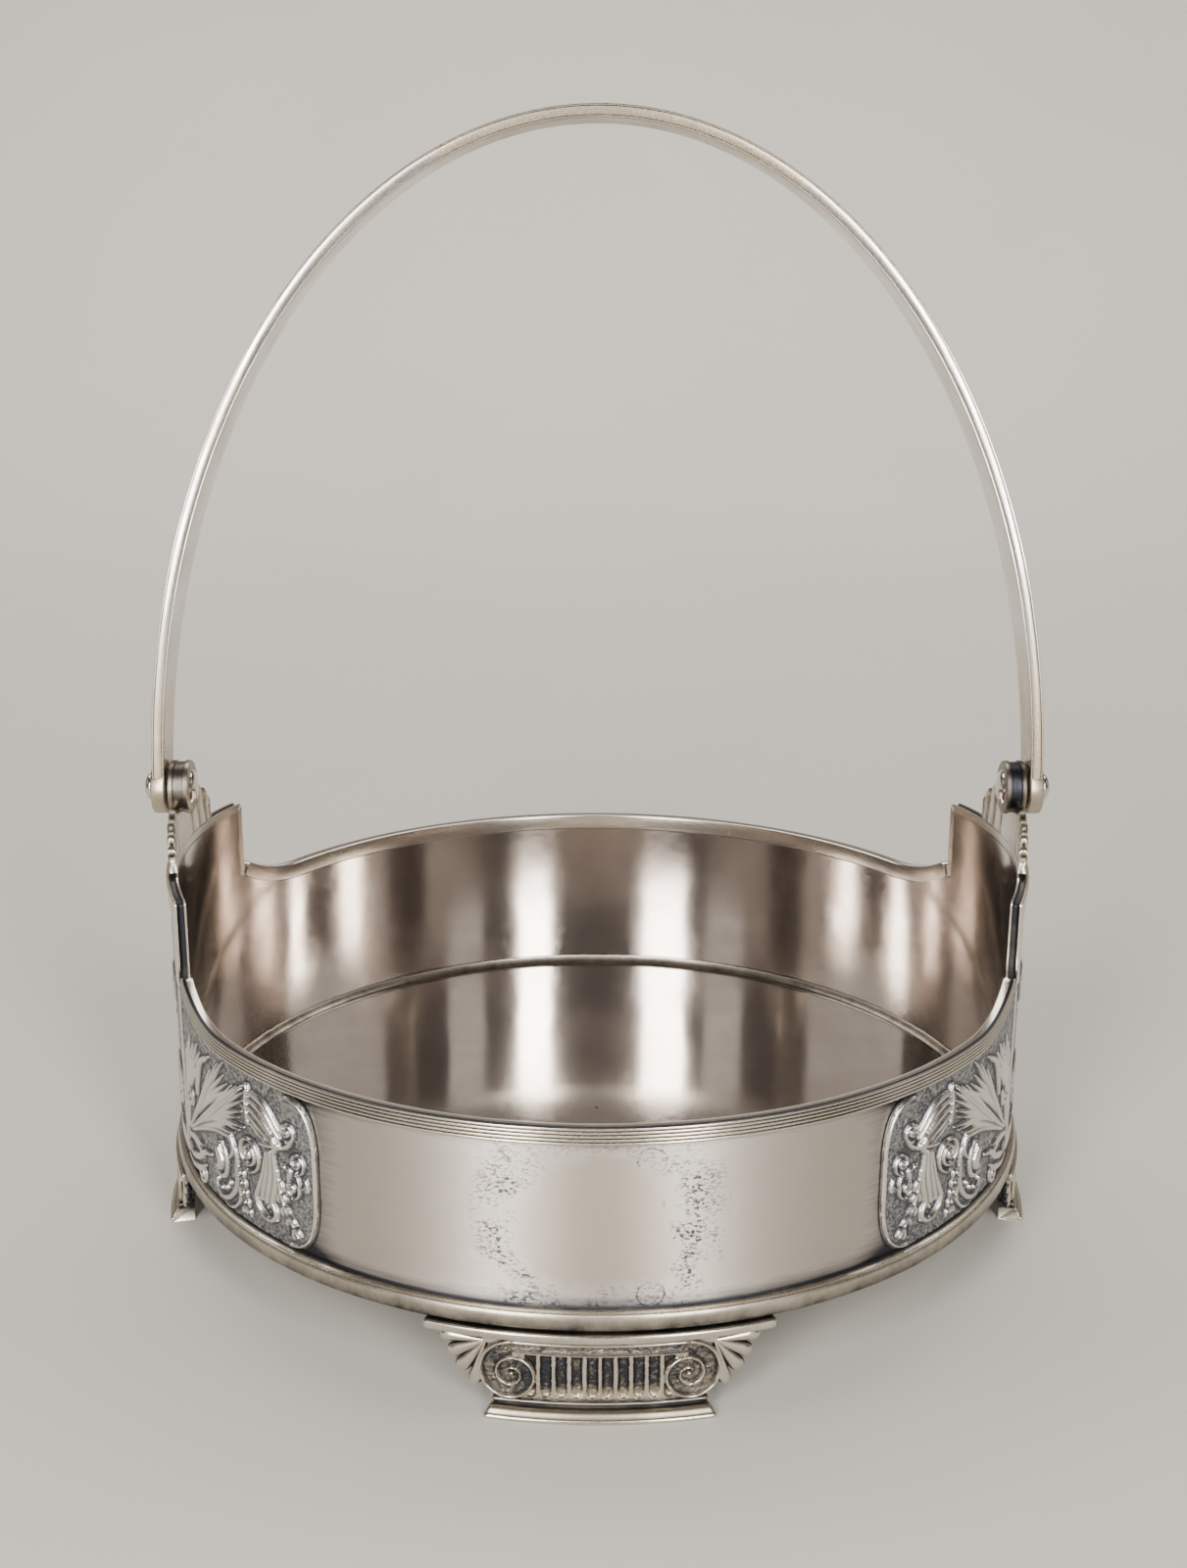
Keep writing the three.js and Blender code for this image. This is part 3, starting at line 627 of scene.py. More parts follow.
def acanthus(field):
    leaf(field, (5.5, 40.5), (14, 49.5), [(20.0, 58.5), (22.3, 62.5), (26.6, 65.6), (29.9, 67.3), (29.8, 63.8),
                                          (31.2, 62.0), (32.2, 60.6)], 1.5, 1.0)
    leaf(field, (7.0, 40.5), (20, 49.5), [(33.8, 62.6), (36.0, 63.2), (38.4, 64.2), (40.2, 63.4), (38.9, 60.4),
                                          (38.2, 57.4), (36.8, 55.2), (39.0, 53.4), (36.8, 51.8)], 1.5, 1.05)
    leaf(field, (8.5, 40.5), (21, 46.6), [(32.8, 52.4), (34.4, 50.2), (33.4, 48.0)], 1.4, 1.0)
    stroke(field, [(5.5, 40), (14, 48.5), (22.5, 59), (29.4, 66.6)], [0.5, 0.55, 0.5, 0.3], 1.25)
    stroke(field, [(6.5, 40), (18, 47.5), (29, 55.8), (38.4, 63.4)], [0.5, 0.6, 0.5, 0.3], 1.3)
    stroke(field, [(8, 40), (17, 44.2), (26, 47.6), (33, 49)], [0.5, 0.6, 0.55, 0.4], 1.2)
    stroke(field, [(32.6, 48.4), (33.9, 46.4), (33.4, 44.4), (31.8, 42.4)], [0.9, 0.8, 0.7, 0.3], 1.25)


def innerLeaves(field):
    # the part of the ornament that lies against the ear
    leaf(field, (1.5, 44), (6, 53), [(8, 62), (10.5, 65), (13.5, 66), (15.5, 64.5), (16.5, 61.5)], 1.5, 1.0)
    leaf(field, (1.5, 38), (3.5, 47), [(2, 56), (3.2, 60.5), (5.2, 63.5), (7.4, 66)], 1.3, 0.95)
    stroke(field, [(12.6, 52), (14, 58), (16, 62), (19.4, 64.2), (21.8, 65.6)], [0.5, 1.0, 0.9, 0.8, 0.3], 1.3,
           0.3)
    leaf(field, (1.5, 36), (8, 37.5), [(13.5, 36.5), (15.5, 38.5), (15, 34.8)], 1.2, 0.9)
    for points, width in (
        ([(1.5, 33.5), (6, 32.2), (11, 33.6), (15.5, 36.8), (20.5, 38.4)], 1.0),
        ([(1.5, 30), (6, 29.4), (11.5, 30.6), (16, 33.4)], 0.9),
        (spiral((13.2, 29.9), 2.6, 1.1, 60, -1, 0.3), 0.7),
        (spiral((5.5, 48.5), 3.4, 1.4, 200, -1, 0.25), 0.8),
    ):
        stroke(field, points, [width * 0.7, width, width, width * 0.5], 1.15, 0.35)
    pearl(field, (13.2, 29.9), 1.3, 1.3)
    pearl(field, (5.5, 48.5), 1.1, 1.25)


def scrolls(field):
    for points, width, groove in (
        ([(32.4, 48), (34.7, 45), (35.1, 40), (33.8, 34.8), (29.8, 30.7), (25.2, 30.1), (22.2, 32.5)],
         1.1, 0.4),
        ([(36.0, 36.5), (35.8, 32.6), (32.7, 29.3), (29.0, 28.6)], 0.75, 0.3),
        ([(27.2, 45), (29.2, 42.4), (29.7, 39), (28.2, 36), (25.2, 35.4), (23.2, 37.2)], 1.0, 0.4),
        ([(24.2, 43.6), (26.2, 44), (27.6, 42)], 0.7, 0.0),
        (spiral((40.8, 47.2), 4.9, 2.3, 240, 1, 0.16), 0.78, 0.0),
        ([(55.2, 55.2), (57.6, 56.6), *spiral((55.9, 58.2), 2.3, 1.1, -5, 1, 0.3)], 0.62, 0.0),
        ([(52.4, 52.6), (54.4, 53.4), (56.6, 55.0), (58.1, 57.4)], 0.75, 0.3),
        ([(58.4, 47.6), (60.6, 48.8), *spiral((59.0, 51.0), 2.4, 1.2, -10, 1, 0.25)], 0.6, 0.0),
        ([(58.7, 48.5), (59.7, 46), *spiral((57.1, 43.4), 2.6, 1.2, 25, -1, 0.25)], 0.62, 0.0),
        ([(61.9, 47.3), (62.3, 45.8), (62.6, 44.6)], 0.75, 0.2),
        ([(61.0, 44.9), (62.5, 44.6)], 0.6, 0.0),
    ):
        stroke(field, points, [width * 0.56, width * 0.7, width * 0.7, width * 0.5], 1.2, groove)
    stroke(field, [(25.0, 42.2), (26.2, 39.5), (26.0, 37.6)], [1.1, 1.6, 1.1], 1.3)
    for centre, radius in (((29.3, 33.4), 0.9), ((31.3, 35.4), 0.8), ((24.4, 33.8), 0.8), ((27.0, 32.4), 0.8),
                           ((40.8, 47.2), 1.1), ((55.9, 58.2), 0.8), ((59.0, 51.0), 0.8), ((57.1, 43.4), 0.9)):
        pearl(field, centre, radius, 1.3)


def ribbonFan(field):
    # pleats that gather at a knot, and the fluted stem that hangs from it
    for pleat in (((42.2, 64.0), (48.0, 62.4), (54.0, 57.2)), ((41.8, 62.0), (47.2, 60.2), (53.2, 55.6)),
                  ((41.6, 60.0), (46.4, 58.0), (52.2, 54.4)), ((41.8, 57.9), (45.8, 56.0), (51.0, 53.6)),
                  ((42.6, 56.0), (46.0, 54.2), (49.4, 52.6))):
        stroke(field, pleat, [0.85, 1.15, 0.9, 0.5], 1.1, 0.0, 0.6)
    for flute in (((49.6, 37.6), (51.2, 44.0), (50.8, 51.0)), ((47.6, 37.2), (49.2, 44.0), (49.8, 51.0)),
                  ((45.6, 37.2), (47.6, 43.6), (49.0, 50.8)), ((43.6, 37.8), (46.2, 43.4), (48.2, 50.6))):
        stroke(field, flute, [0.9, 1.1, 0.75, 0.5], 1.1, 0.0, 0.6)
    stroke(field, [(40.2, 65.0), (41.2, 65.6), (41.8, 64.4), (41.0, 62.5), (41.0, 59.0), (41.9, 55.6)],
           [0.5, 0.6, 0.55, 0.5], 1.35)
    for up in np.linspace(56.2, 64.0, 8):
        pearl(field, (41.1, up), 0.55, 1.4)
    stroke(field, [(46.2, 52.2), (49.6, 52.6), (52.6, 53.6)], [0.7, 0.9, 0.8], 1.35)
    stroke(field, [(51.2, 55.0), (52.0, 53.2), (51.4, 51.6)], [0.9, 1.0, 0.8], 1.45)
    stroke(field, [(43.4, 37.6), (44.4, 34.4), (47.6, 32.4), (50.4, 33.2), (51.0, 35.4), (49.6, 36.8),
                   (48.4, 35.8)], [0.5, 0.8, 0.9, 0.8, 0.6], 1.25)


def husksAndLaurel(field):
    for share in np.linspace(0, 1, 5):
        spot = np.array([36.4, 41.4]) + share * np.array([2.4, -9.6])
        for side in (-1, 1):
            stroke(field, [spot, spot + (1.5 * side, -0.6), spot + (1.9 * side, -2.0)], [0.4, 0.6, 0.2], 1.0)
        pearl(field, spot + (0, -1.2), 0.65, 1.15)
    pearl(field, (38.9, 31.0), 1.1, 1.2)
    stem = smoothLine([(52.0, 46.5), (52.6, 42), (54.0, 37.6), (56.2, 34), (58.4, 30.8)])
    stroke(field, stem[::4], [0.35, 0.4, 0.35, 0.25], 0.9)
    for i in range(3, len(stem) - 1, 5):
        along = stem[i + 1] - stem[i - 1]
        along = along / np.linalg.norm(along)
        beside = np.array([-along[1], along[0]])
        for side in (-1, 1):
            tip = stem[i] + 3.0 * along + side * 1.7 * beside
            middle = stem[i] + 1.3 * along + side * 1.25 * beside
            stroke(field, [stem[i], middle, tip], [0.2, 0.5, 0.42, 0.08], 0.95)
    for points in ([(55.2, 47), (55.6, 44), (54.8, 41)], [(53.8, 48.8), (56.4, 47.8), (56.0, 45.6)]):
        stroke(field, points, [0.5, 0.7, 0.2], 1.0, 0.2)


def drawPanel():
    length, corner = panel["length"], panel["corner"]
    straight = np.arange(gap, length - corner, panel["cell"])
    turns = np.linspace(0, math.acos(panel["lastShare"] ** 1.5), 60)[1:]
    curved = length - corner * (1 - np.sin(turns) ** (2 / 3))
    columns = np.concatenate([straight, [length - corner], curved])
    low, high = panelOutline(columns)
    rows = np.linspace(0, 1, int((rimUnder - ringHigh) / panel["cell"]))[:, None]
    across = np.broadcast_to(columns, (len(rows), len(columns)))
    height = low + (high - low) * rows
    field = {"across": across, "height": height, "rise": np.zeros(across.shape)}
    for draw in (acanthus, innerLeaves, scrolls, ribbonFan, husksAndLaurel):
        draw(field)
    field["rise"] = 0.4 * field["rise"] + 0.6 * blurred(field["rise"], 1)
    rise, patinaAndShade = stippled(field, panel["stipple"], 11)
    # a bright bead runs round the far edge, between two lines of painted shadow
    low, high = panelOutline(curved)
    outline = np.concatenate([np.stack([curved, low], -1), np.stack([curved, high], -1)[::-1]])
    inside = outline + (np.array([length - 14, (rimUnder + ringHigh) / 2]) - outline) * panel["beadIn"]
    edge = {"across": across, "height": height, "rise": np.zeros(across.shape)}
    stroke(edge, inside[::3], [panel["beadWidth"]] * 2, panel["bead"])
    patinaAndShade = np.where(edge["rise"] > 0.25, 0, np.maximum(patinaAndShade, 0.8 * (blurred(edge["rise"], 3) > 0.05)))
    return across, height, np.maximum(rise, edge["rise"]), patinaAndShade


def makePanels():
    across, height, rise, patinaAndShade = drawPanel()
    patinaAndShade = np.concatenate([patinaAndShade.ravel(), np.zeros(2 * rise.shape[1])])
    for name, side, hand in (("right_back_relief", "right", 1), ("left_front_relief", "left", 1),
                             ("right_front_relief", "right", -1), ("left_back_relief", "left", -1)):
        points, faces = reliefPlate(hand * (earHalf + across), height, onWall + panel["ground"] + rise, onWall,
                                    facings[side])
        addPiece(name, points, faces, "darkened_relief_silver", [name + "_panel"], sharp=60,
                 patinaAndShade=patinaAndShade)


# Ears: a thick hollowed edge up one side, along the top and down the other, and a plaque outside
ear = {"hollow": 0.5, "cornerRound": 1.0, "footTaper": 2.5, "innerFillet": 0.5, "outerFillet": 0.65,
       "bevel": (0.12, 0.15), "lip": 0.08, "hollowDark": 0.9}


def earPath(depth, hollow):
    # from the foot of one side to the middle of the top, at a depth inside the ear's outline
    corner = earTop - body["earCrown"]
    turn = ear["cornerRound"] * (1 - depth / (body["borderWidth"] + 0.4))
    places = [(earHalf - depth - hollow * share, earLow + ear["footTaper"] * share)
              for share in (0, 0.25, 0.5, 0.75, 1)]
    depth += hollow
    centre = earHalf - depth - turn
    places += [(centre + turn * math.cos(t), corner - depth - turn + turn * math.sin(t))
               for t in np.linspace(0, quarter, 9)]
    places += [(across, corner - depth) for across in np.linspace(centre, 0, 40)[1:]]
    return [(across, up + body["earCrown"] * (1 - (across / earHalf) ** 2) * (across < earHalf - 2 * depth - 1))
            for across, up in places]


def makeEarBorder(side):
    # profile: (radius, depth inside the outline, how hollow)
    inner, outer, deep = wallInner, borderOuter, body["borderWidth"]
    left, right = inner + ear["innerFillet"], outer - ear["outerFillet"]
    lip, (across, down) = ear["lip"], ear["bevel"]
    profile = [(inner, deep, 0), (inner, down, 0), (inner + across, 0, 0), (left - lip, 0, 0), (left, lip, 0)]
    for share in (0.06, 0.2, 0.4, 0.6, 0.8, 0.94):
        profile.append((left + (right - left) * share, lip, ear["hollow"] * math.sin(math.pi * share) ** 0.5))
    profile += [(right, lip, 0), (right + lip, 0, 0), (outer - down, 0, 0), (outer, down, 0), (outer, deep, 0)]
    lines = []
    for radius, depth, hollow in profile:
        half = earPath(depth, hollow)
        across, up = np.array(half + [(-across, up) for across, up in half[-2::-1]]).T
        lines.append(onRound(radius, across, up, facings[side]))
    points, faces = lofted(np.stack(lines, axis=1))
    shades = [ear["hollowDark"] * (hollow > 0.1) for _, _, hollow in profile]
    addPiece(side + "_ear_edge", points, faces, "satin_silver", [side + "_ear_border"],
             sharp=35, patinaAndShade=np.tile(shades, len(points) // len(profile)))


plaque = {"cell": 0.36, "ground": 0.3, "frame": 0.6, "frameWidth": 1.3, "inset": 2.4, "stipple": 0.09,
          "highest": 1.0, "relief": 0.9}


def drawPlaque():
    low, top = ringHigh + gap, earEdge(0) - earInset
    rows = np.linspace(0, 1, int((top - low) / plaque["cell"]))[:, None]
    columns = np.linspace(-1, 1, int(2 * earHalf / plaque["cell"]))
    half = np.interp(low + (top - low) * rows, [earLow - 0.7, earLow - gap], [earHalf, earHalf - earInset])
    across = half * columns
    height = low + (earEdge(across) - earInset - low) * rows
    field = {"across": across, "height": height, "rise": np.zeros(across.shape)}
    for hand in (-1, 1):
        leaf(field, (0, 40), (7 * hand, 58), [(4 * hand, 84), (8 * hand, 80), (11 * hand, 75), (14 * hand, 70),
                                              (16 * hand, 64), (17 * hand, 58)], 2.1, 0.95)
        leaf(field, (0, 44), (14 * hand, 45), [(25 * hand, 50), (26 * hand, 46), (25 * hand, 42)], 1.6, 0.9)
        large = spiral((30 * hand, 46), 7, 1.9, -90, hand, 0.12, 18)
        small = spiral((27 * hand, 72), 5, 1.6, -60 if hand > 0 else 240, hand)
        for points, width in (
            ([(2 * hand, 36), (14 * hand, 36), (26 * hand, 40), *large], 1.2),
            ([(18 * hand, 64), (23 * hand, 68), *small], 1.0),
            ([(24 * hand, 38), (30 * hand, 34), (36 * hand, 34)], 0.9),
        ):
            stroke(field, points, [width, width, width, 0.6 * width], 0.9, 0.35)
        pearl(field, (30 * hand, 46), 1.5, 1.0)
        pearl(field, (27 * hand, 72), 1.2, 1.0)
    stroke(field, [(0, 34), (0, 60), (0, 88)], [1.2, 1.6, 0.3], 1.1)
    pearl(field, (0, 35), 3.0, 1.1)
    rise, patinaAndShade = stippled(field, plaque["stipple"], 23)
    rise = np.minimum(rise, plaque["highest"]) * plaque["relief"]
    fromEdge = np.minimum(np.minimum(half - abs(across), height - low), earEdge(across) - earInset - height)
    border = 1 - ((fromEdge - plaque["inset"]) / plaque["frameWidth"]) ** 2
    border = plaque["frame"] * np.clip(border, 0, None) ** 0.5
    return across, height, np.maximum(rise, border), np.where(border > 0.15, 0.0, patinaAndShade) * (fromEdge > 0.5)


def makePlaques():
    across, height, rise, patinaAndShade = drawPlaque()
    patinaAndShade = np.concatenate([patinaAndShade.ravel(), np.zeros(2 * rise.shape[1])])
    for side in sides:
        points, faces = reliefPlate(across, height, onWall + plaque["ground"] + rise, onWall, facings[side])
        addPiece(side + "_ear_plate", points, faces, "darkened_relief_silver",
                 [side + "_ear_plaque"], sharp=60, patinaAndShade=patinaAndShade)


# Hinges: scalloped brackets with lugs, pins with domed heads, and domed rosettes inside
hinge = {
    "width": 49.4, "endHeight": 4.2, "height": 13.2, "neck": 17.3, "lobes": 4, "lobeDepth": 0.9,
    "thickness": 2.2, "flute": 0.5, "bevel": 0.45, "lugRadius": 7.2, "shaftRadius": 1.8, "headRadius": 3.7,
    "headHeight": 2.4, "headEdge": (0.2, 0.5), "rosetteRadius": 6.5, "domeInset": 2.0, "domeBack": 1.1,
    "lugDark": (0.85, 0.6),
    # turned edges: in from the radius, and away from the end
    "lugEdge": ((0.5, 0), (0.1, 0.2), (0, 0.6), (0, 1.4), (0.35, 1.6)),
    "rosetteEdge": ((0.2, 0), (0, 0.2), (0, 0.6), (0.3, 0.9), (1.1, 1.0), (1.4, 0.75), (1.7, 0.9)),
}


def makeBracket(side):
    neck, lobes, endHeight, height = hinge["neck"] / 2, hinge["lobes"], hinge["endHeight"], hinge["height"]
    reach, rise = hinge["width"] / 2 - neck, height - endHeight
    # columns: across at the foot, across at the head, height, depth of the groove
    columns = []
    for share in np.linspace(0, 1, 12 * lobes + 1):
        turn, scallop = quarter * share, 1 - abs(math.sin(math.pi * lobes * share))
        lobe = -hinge["lobeDepth"] * scallop
        columns.append((neck + reach * math.cos(turn), neck + (reach + lobe) * math.cos(turn),
                        endHeight + (rise + lobe) * math.sin(turn), hinge["flute"] * scallop ** 1.5))
    columns += [(across, across, height, 0.0) for across in np.linspace(neck, 0, 6)[1:]]
    columns += [(-foot, -head, up, groove) for foot, head, up, groove in columns[-2::-1]]
    shares = np.array([0, 0.25, 0.5, 0.75, 0.92, 1.0])
    sections, shades = [], []
    for foot, head, up, groove in columns:
        deep = groove * np.minimum(1, shares * 1.6) + hinge["bevel"] * (shares > 0.99)
        across, heights = foot + (head - foot) * shares, earTop + gap + up * shares
        front = onRound(wallInner + hinge["thickness"] - deep, across, heights, facings[side])
        back = onRound(wallInner + deep, across, heights, facings[side])
        sections.append([*front, *back[::-1]])
        line = [0.0, 0.0, 0.0, 0.1, 0.3, 0.35 + 0.65 * groove / hinge["flute"]]
        shades += line + line[::-1]
    radius = hinge["lugRadius"]
    near = [(radius - inwards, lugInner + along) for inwards, along in hinge["lugEdge"]]
    far = [(radius - inwards, lugOuter - along) for inwards, along in hinge["lugEdge"][::-1]]
    lug = turnedAlongX([(0, lugInner), *near, *far, (0, lugOuter)], pivotUp, sides[side])
    points, faces = joined([lofted(sections), lug])
    around = np.hypot(lug[0][:, 1], lug[0][:, 2] - pivotUp)
    fromMiddle = abs(abs(lug[0][:, 0]) - (lugInner + lugOuter) / 2)
    inHollow = (around > radius - 0.6) & (fromMiddle < (lugOuter - lugInner) / 2 - 1.2)
    addPiece(side + "_bracket", points, faces, "satin_silver", [side + "_hinge_bracket"],
             patinaAndShade=[*shades, *np.where(inHollow, *hinge["lugDark"])])


def makePins(side):
    radius, height, shaft = hinge["headRadius"], hinge["headHeight"], hinge["shaftRadius"]
    base, (bevel, edge) = pinOuter - height, hinge["headEdge"]
    dome = [(radius * math.cos(t), base + edge + (height - edge) * math.sin(t))
            for t in np.linspace(0, quarter, 10)[:-1]]
    points, faces = turnedAlongX([(0, pinInner), (shaft, pinInner), (shaft, base), (radius - bevel, base),
                                  (radius, base + bevel), *dome, (0, pinOuter)], pivotUp, sides[side])
    addPiece(side + "_pin", points, faces, "polished_silver", [side + "_pivot_pin"],
             sharp=50)
    radius, back = hinge["rosetteRadius"], rosetteOuter - hinge["domeBack"]
    dome = [((radius - hinge["domeInset"]) * math.cos(t), back - (back - rosetteInner) * math.sin(t))
            for t in np.linspace(0.1, quarter, 9)[:-1]]
    edge = [(radius - inwards, rosetteOuter - away) for inwards, away in hinge["rosetteEdge"]]
    points, faces = turnedAlongX([(0, rosetteOuter), *edge, *dome, (0, rosetteInner)], pivotUp, sides[side])
    addPiece(side + "_rosette", points, faces, "polished_silver", [side + "_pivot_rosette"])


# Handle: a flat arch with reeded edges and an eye at each end
handle = {
    "thickness": 3.5, "width": 16.0, "endWidth": 12.4, "topWidth": 13.0, "taper": 60.0, "rise": 175.0,
    "lean": 5.0, "eyeRadius": 7.2, "eyeThickness": 3.9, "eyeBevel": 0.4, "eyeDish": 0.25, "groove": 0.22,
    "fillet": 0.62, "steps": 320, "lowDark": (45.0, 0.34), "topDark": (147.0, 25.0, 0.36), "grooveDark": 0.85,
    # outer edge of the eye: in from its radius, and in from its face
    "eyeEdge": ((0, 0.5), (0.15, 0.15), (0.5, 0), (1.6, 0), (1.9, 0.25)),
}


def handleSection(width):
    # a closed ring of (outwards, across) points; each edge has two fine grooves
    half, edge = handle["thickness"] / 2, width / 2
    line, cut = half - handle["fillet"], handle["groove"]
    right = [(0, 0), (line * 0.5, 0), (line - 0.14, -0.06), (line, -cut), (line + 0.1, 0), (half - 0.32, 0),
             (half - 0.14, -0.14), (half - 0.06, -0.45)]
    front = [(-out, edge + back) for out, back in right[:0:-1]] + [(out, edge + back) for out, back in right]
    shares = (0.8, 0.4, 0, -0.4, -0.8)
    outer, inner = [[(sign * half, sign * edge * share) for share in shares] for sign in (1, -1)]
    return [*front, *outer, *[(out, -across) for out, across in front[::-1]], *inner]


def leaned(points):
    turn = math.radians(handle["lean"])
    x, y, z = points.T
    return np.stack([x, y * math.cos(turn) + z * math.sin(turn),
                     pivotUp + z * math.cos(turn) - y * math.sin(turn)], axis=-1)


def makeHandle():
    half, rise, taper = handle["thickness"] / 2, handle["rise"], handle["taper"]
    eyeInner, radius = eyeOuter - handle["eyeThickness"], handle["eyeRadius"]
    wide, tall = eyeInner + half, rise - half
    sections = []
    for turn in np.linspace(0, math.pi, handle["steps"] + 1):
        middle = np.array([wide * math.cos(turn), tall * math.sin(turn)])
        out = np.array([tall * math.cos(turn), wide * math.sin(turn)])
        out /= np.linalg.norm(out)
        width = np.interp(middle[1], [0, taper, rise - taper, rise],
                          [handle["endWidth"], handle["width"], handle["width"], handle["topWidth"]])
        sections.append([(middle[0] + out[0] * n, across, middle[1] + out[1] * n)
                         for n, across in handleSection(width)])
    bevel, dish = handle["eyeBevel"], handle["eyeDish"]
    edge = [(radius - inwards, eyeOuter - away) for inwards, away in handle["eyeEdge"]]
    eye = [(0, eyeInner), (radius - bevel, eyeInner), (radius, eyeInner + bevel), *edge, (0, eyeOuter - dish)]
    points, faces = joined([lofted(sections), turnedAlongX(eye, 0), turnedAlongX(eye, 0, -1)])
    (lowEnd, lowDark), (topStart, topReach, topDark) = handle["lowDark"], handle["topDark"]
    patinaAndShade = lowDark * np.clip(1 - points[:, 2] / lowEnd, 0, 1) ** 0.7
    patinaAndShade += topDark * np.clip((points[:, 2] - topStart) / topReach, 0, 1)
    ring, band = handleSection(handle["width"]), len(sections) * len(sections[0])
    for i, (out, _) in enumerate(ring):
        if abs(abs(out) - (half - handle["fillet"])) < 0.01:
            patinaAndShade[i:band:len(ring)] = handle["grooveDark"]
    addPiece("arched_handle", leaned(points), faces, "handle_silver", ["handle"],
             body="handle", sharp=35, patinaAndShade=patinaAndShade)


# Feet: an Ionic capital each, with flutes, two volutes, an abacus and a fan of shell lobes at each side
foot = {
    "cell": 0.2, "face": 116.3, "inner": 113.1, "low": 4.25, "plateTop": 19.4, "voluteAcross": 20.0,
    "voluteUp": 10.65, "spiralStart": 8.3, "spiralFall": (0.14, 0.008), "spiralQuarters": 8.4, "ridge": 0.7,
    "ridgeWidth": 0.5, "eye": 0.55, "canalisLow": 16.3, "canalisHigh": 18.55, "canalisDeep": 0.45,
    "fillet": 0.5, "lowFillet": (-0.1, 0.22), "highFillet": (0.25, 0.36), "flutes": 10, "flutePitch": 3.48,
    "fluteHalf": 1.25, "fluteDeep": 1.05, "fluteLow": 5.9,
    # shell: its root, the lobes' direction, length and width, the web's outline, and the tab that holds it
    "shell": (26.2, 17.7),
    "shellLobes": ((0, 10.9, 1.6), (-26, 9.9, 1.9), (-52, 10.6, 1.9), (-76, 12.2, 1.7)),
    "web": ((-93, 9.6), (-78, 9.4), (-50, 8.4), (-24, 8.0), (2, 8.6)), "webBack": 2.0, "lobeBack": 1.45,
    "lobeRoot": 0.22, "lobeWidest": 0.84, "lobeDeep": (0.4, 0.85),
    "tab": ((22.5, 18.5), (24.4, 18.0), (26.4, 17.6), (26.8, 18.8)), "tabTop": 19.3, "tabBack": 0.3,
}
# bands of a foot: half width, front radius, sole, and rows of (back from the front, up, shorter at each end,
# patina, and painted shade on the abacus); a row without a front lies on the foot's inner face
footBands = (
    (25.7, -footFront, 0.0, (
        (None, 0, 0, 0), (0.35, 0, 0, 0), (0.08, 0.15, 0, 0), (0, 0.45, 0, 0), (0.06, 0.85, 0, 0),
        (0.25, 1.1, 0.1, 0.3), (0.45, 1.2, 0.3, 0.62), (0.5, 1.5, 0.35, 0.5), (0.75, 2.0, 0.5, 0.42),
        (1.2, 2.45, 0.8, 0.38), (1.8, 2.75, 1.2, 0.42), (2.4, 2.8, 1.6, 0.7), (None, 2.8, 1.6, 0.95))),
    (24.4, foot["face"], 0.0, (
        (None, 2.6, 0.6, 0.9), (-0.4, 2.75, 0.6, 0.9), (0, 3.1, 0.7, 0.9), (-0.05, 3.45, 0.7, 0.85),
        (-0.6, 3.75, 0.2, 0.7), (-0.95, 3.85, 0, 0.6), (-1.05, 4.1, 0, 0.5), (-0.9, 4.35, 0.1, 0.7),
        (-0.5, 4.45, 0.2, 0.85), (None, 4.45, 0.2, 0.9))),
    # abacus: painted shade on its top, under the base ring, and on its underside
    (40.5, foot["face"] + 0.8, footTop, (
        (None, -2.2, 0, 0.7), (0.5, -2.2, 0.3, 0.5), (0.12, -2.05, 0.1, 0.1), (0, -1.7, 0, 0), (0, -0.6, 0, 0),
        (0.08, -0.3, 0, 0), (0.3, -0.08, 0.1, 0), (0.7, 0, 0.2, 0.6), (1.4, 0, 0.3, 0.9), (None, 0, 0.3, 0.9))),
)


def spiralReach(quarters):
    first, later = foot["spiralFall"]
    return foot["spiralStart"] * np.exp(-first * quarters - later * quarters ** 2)


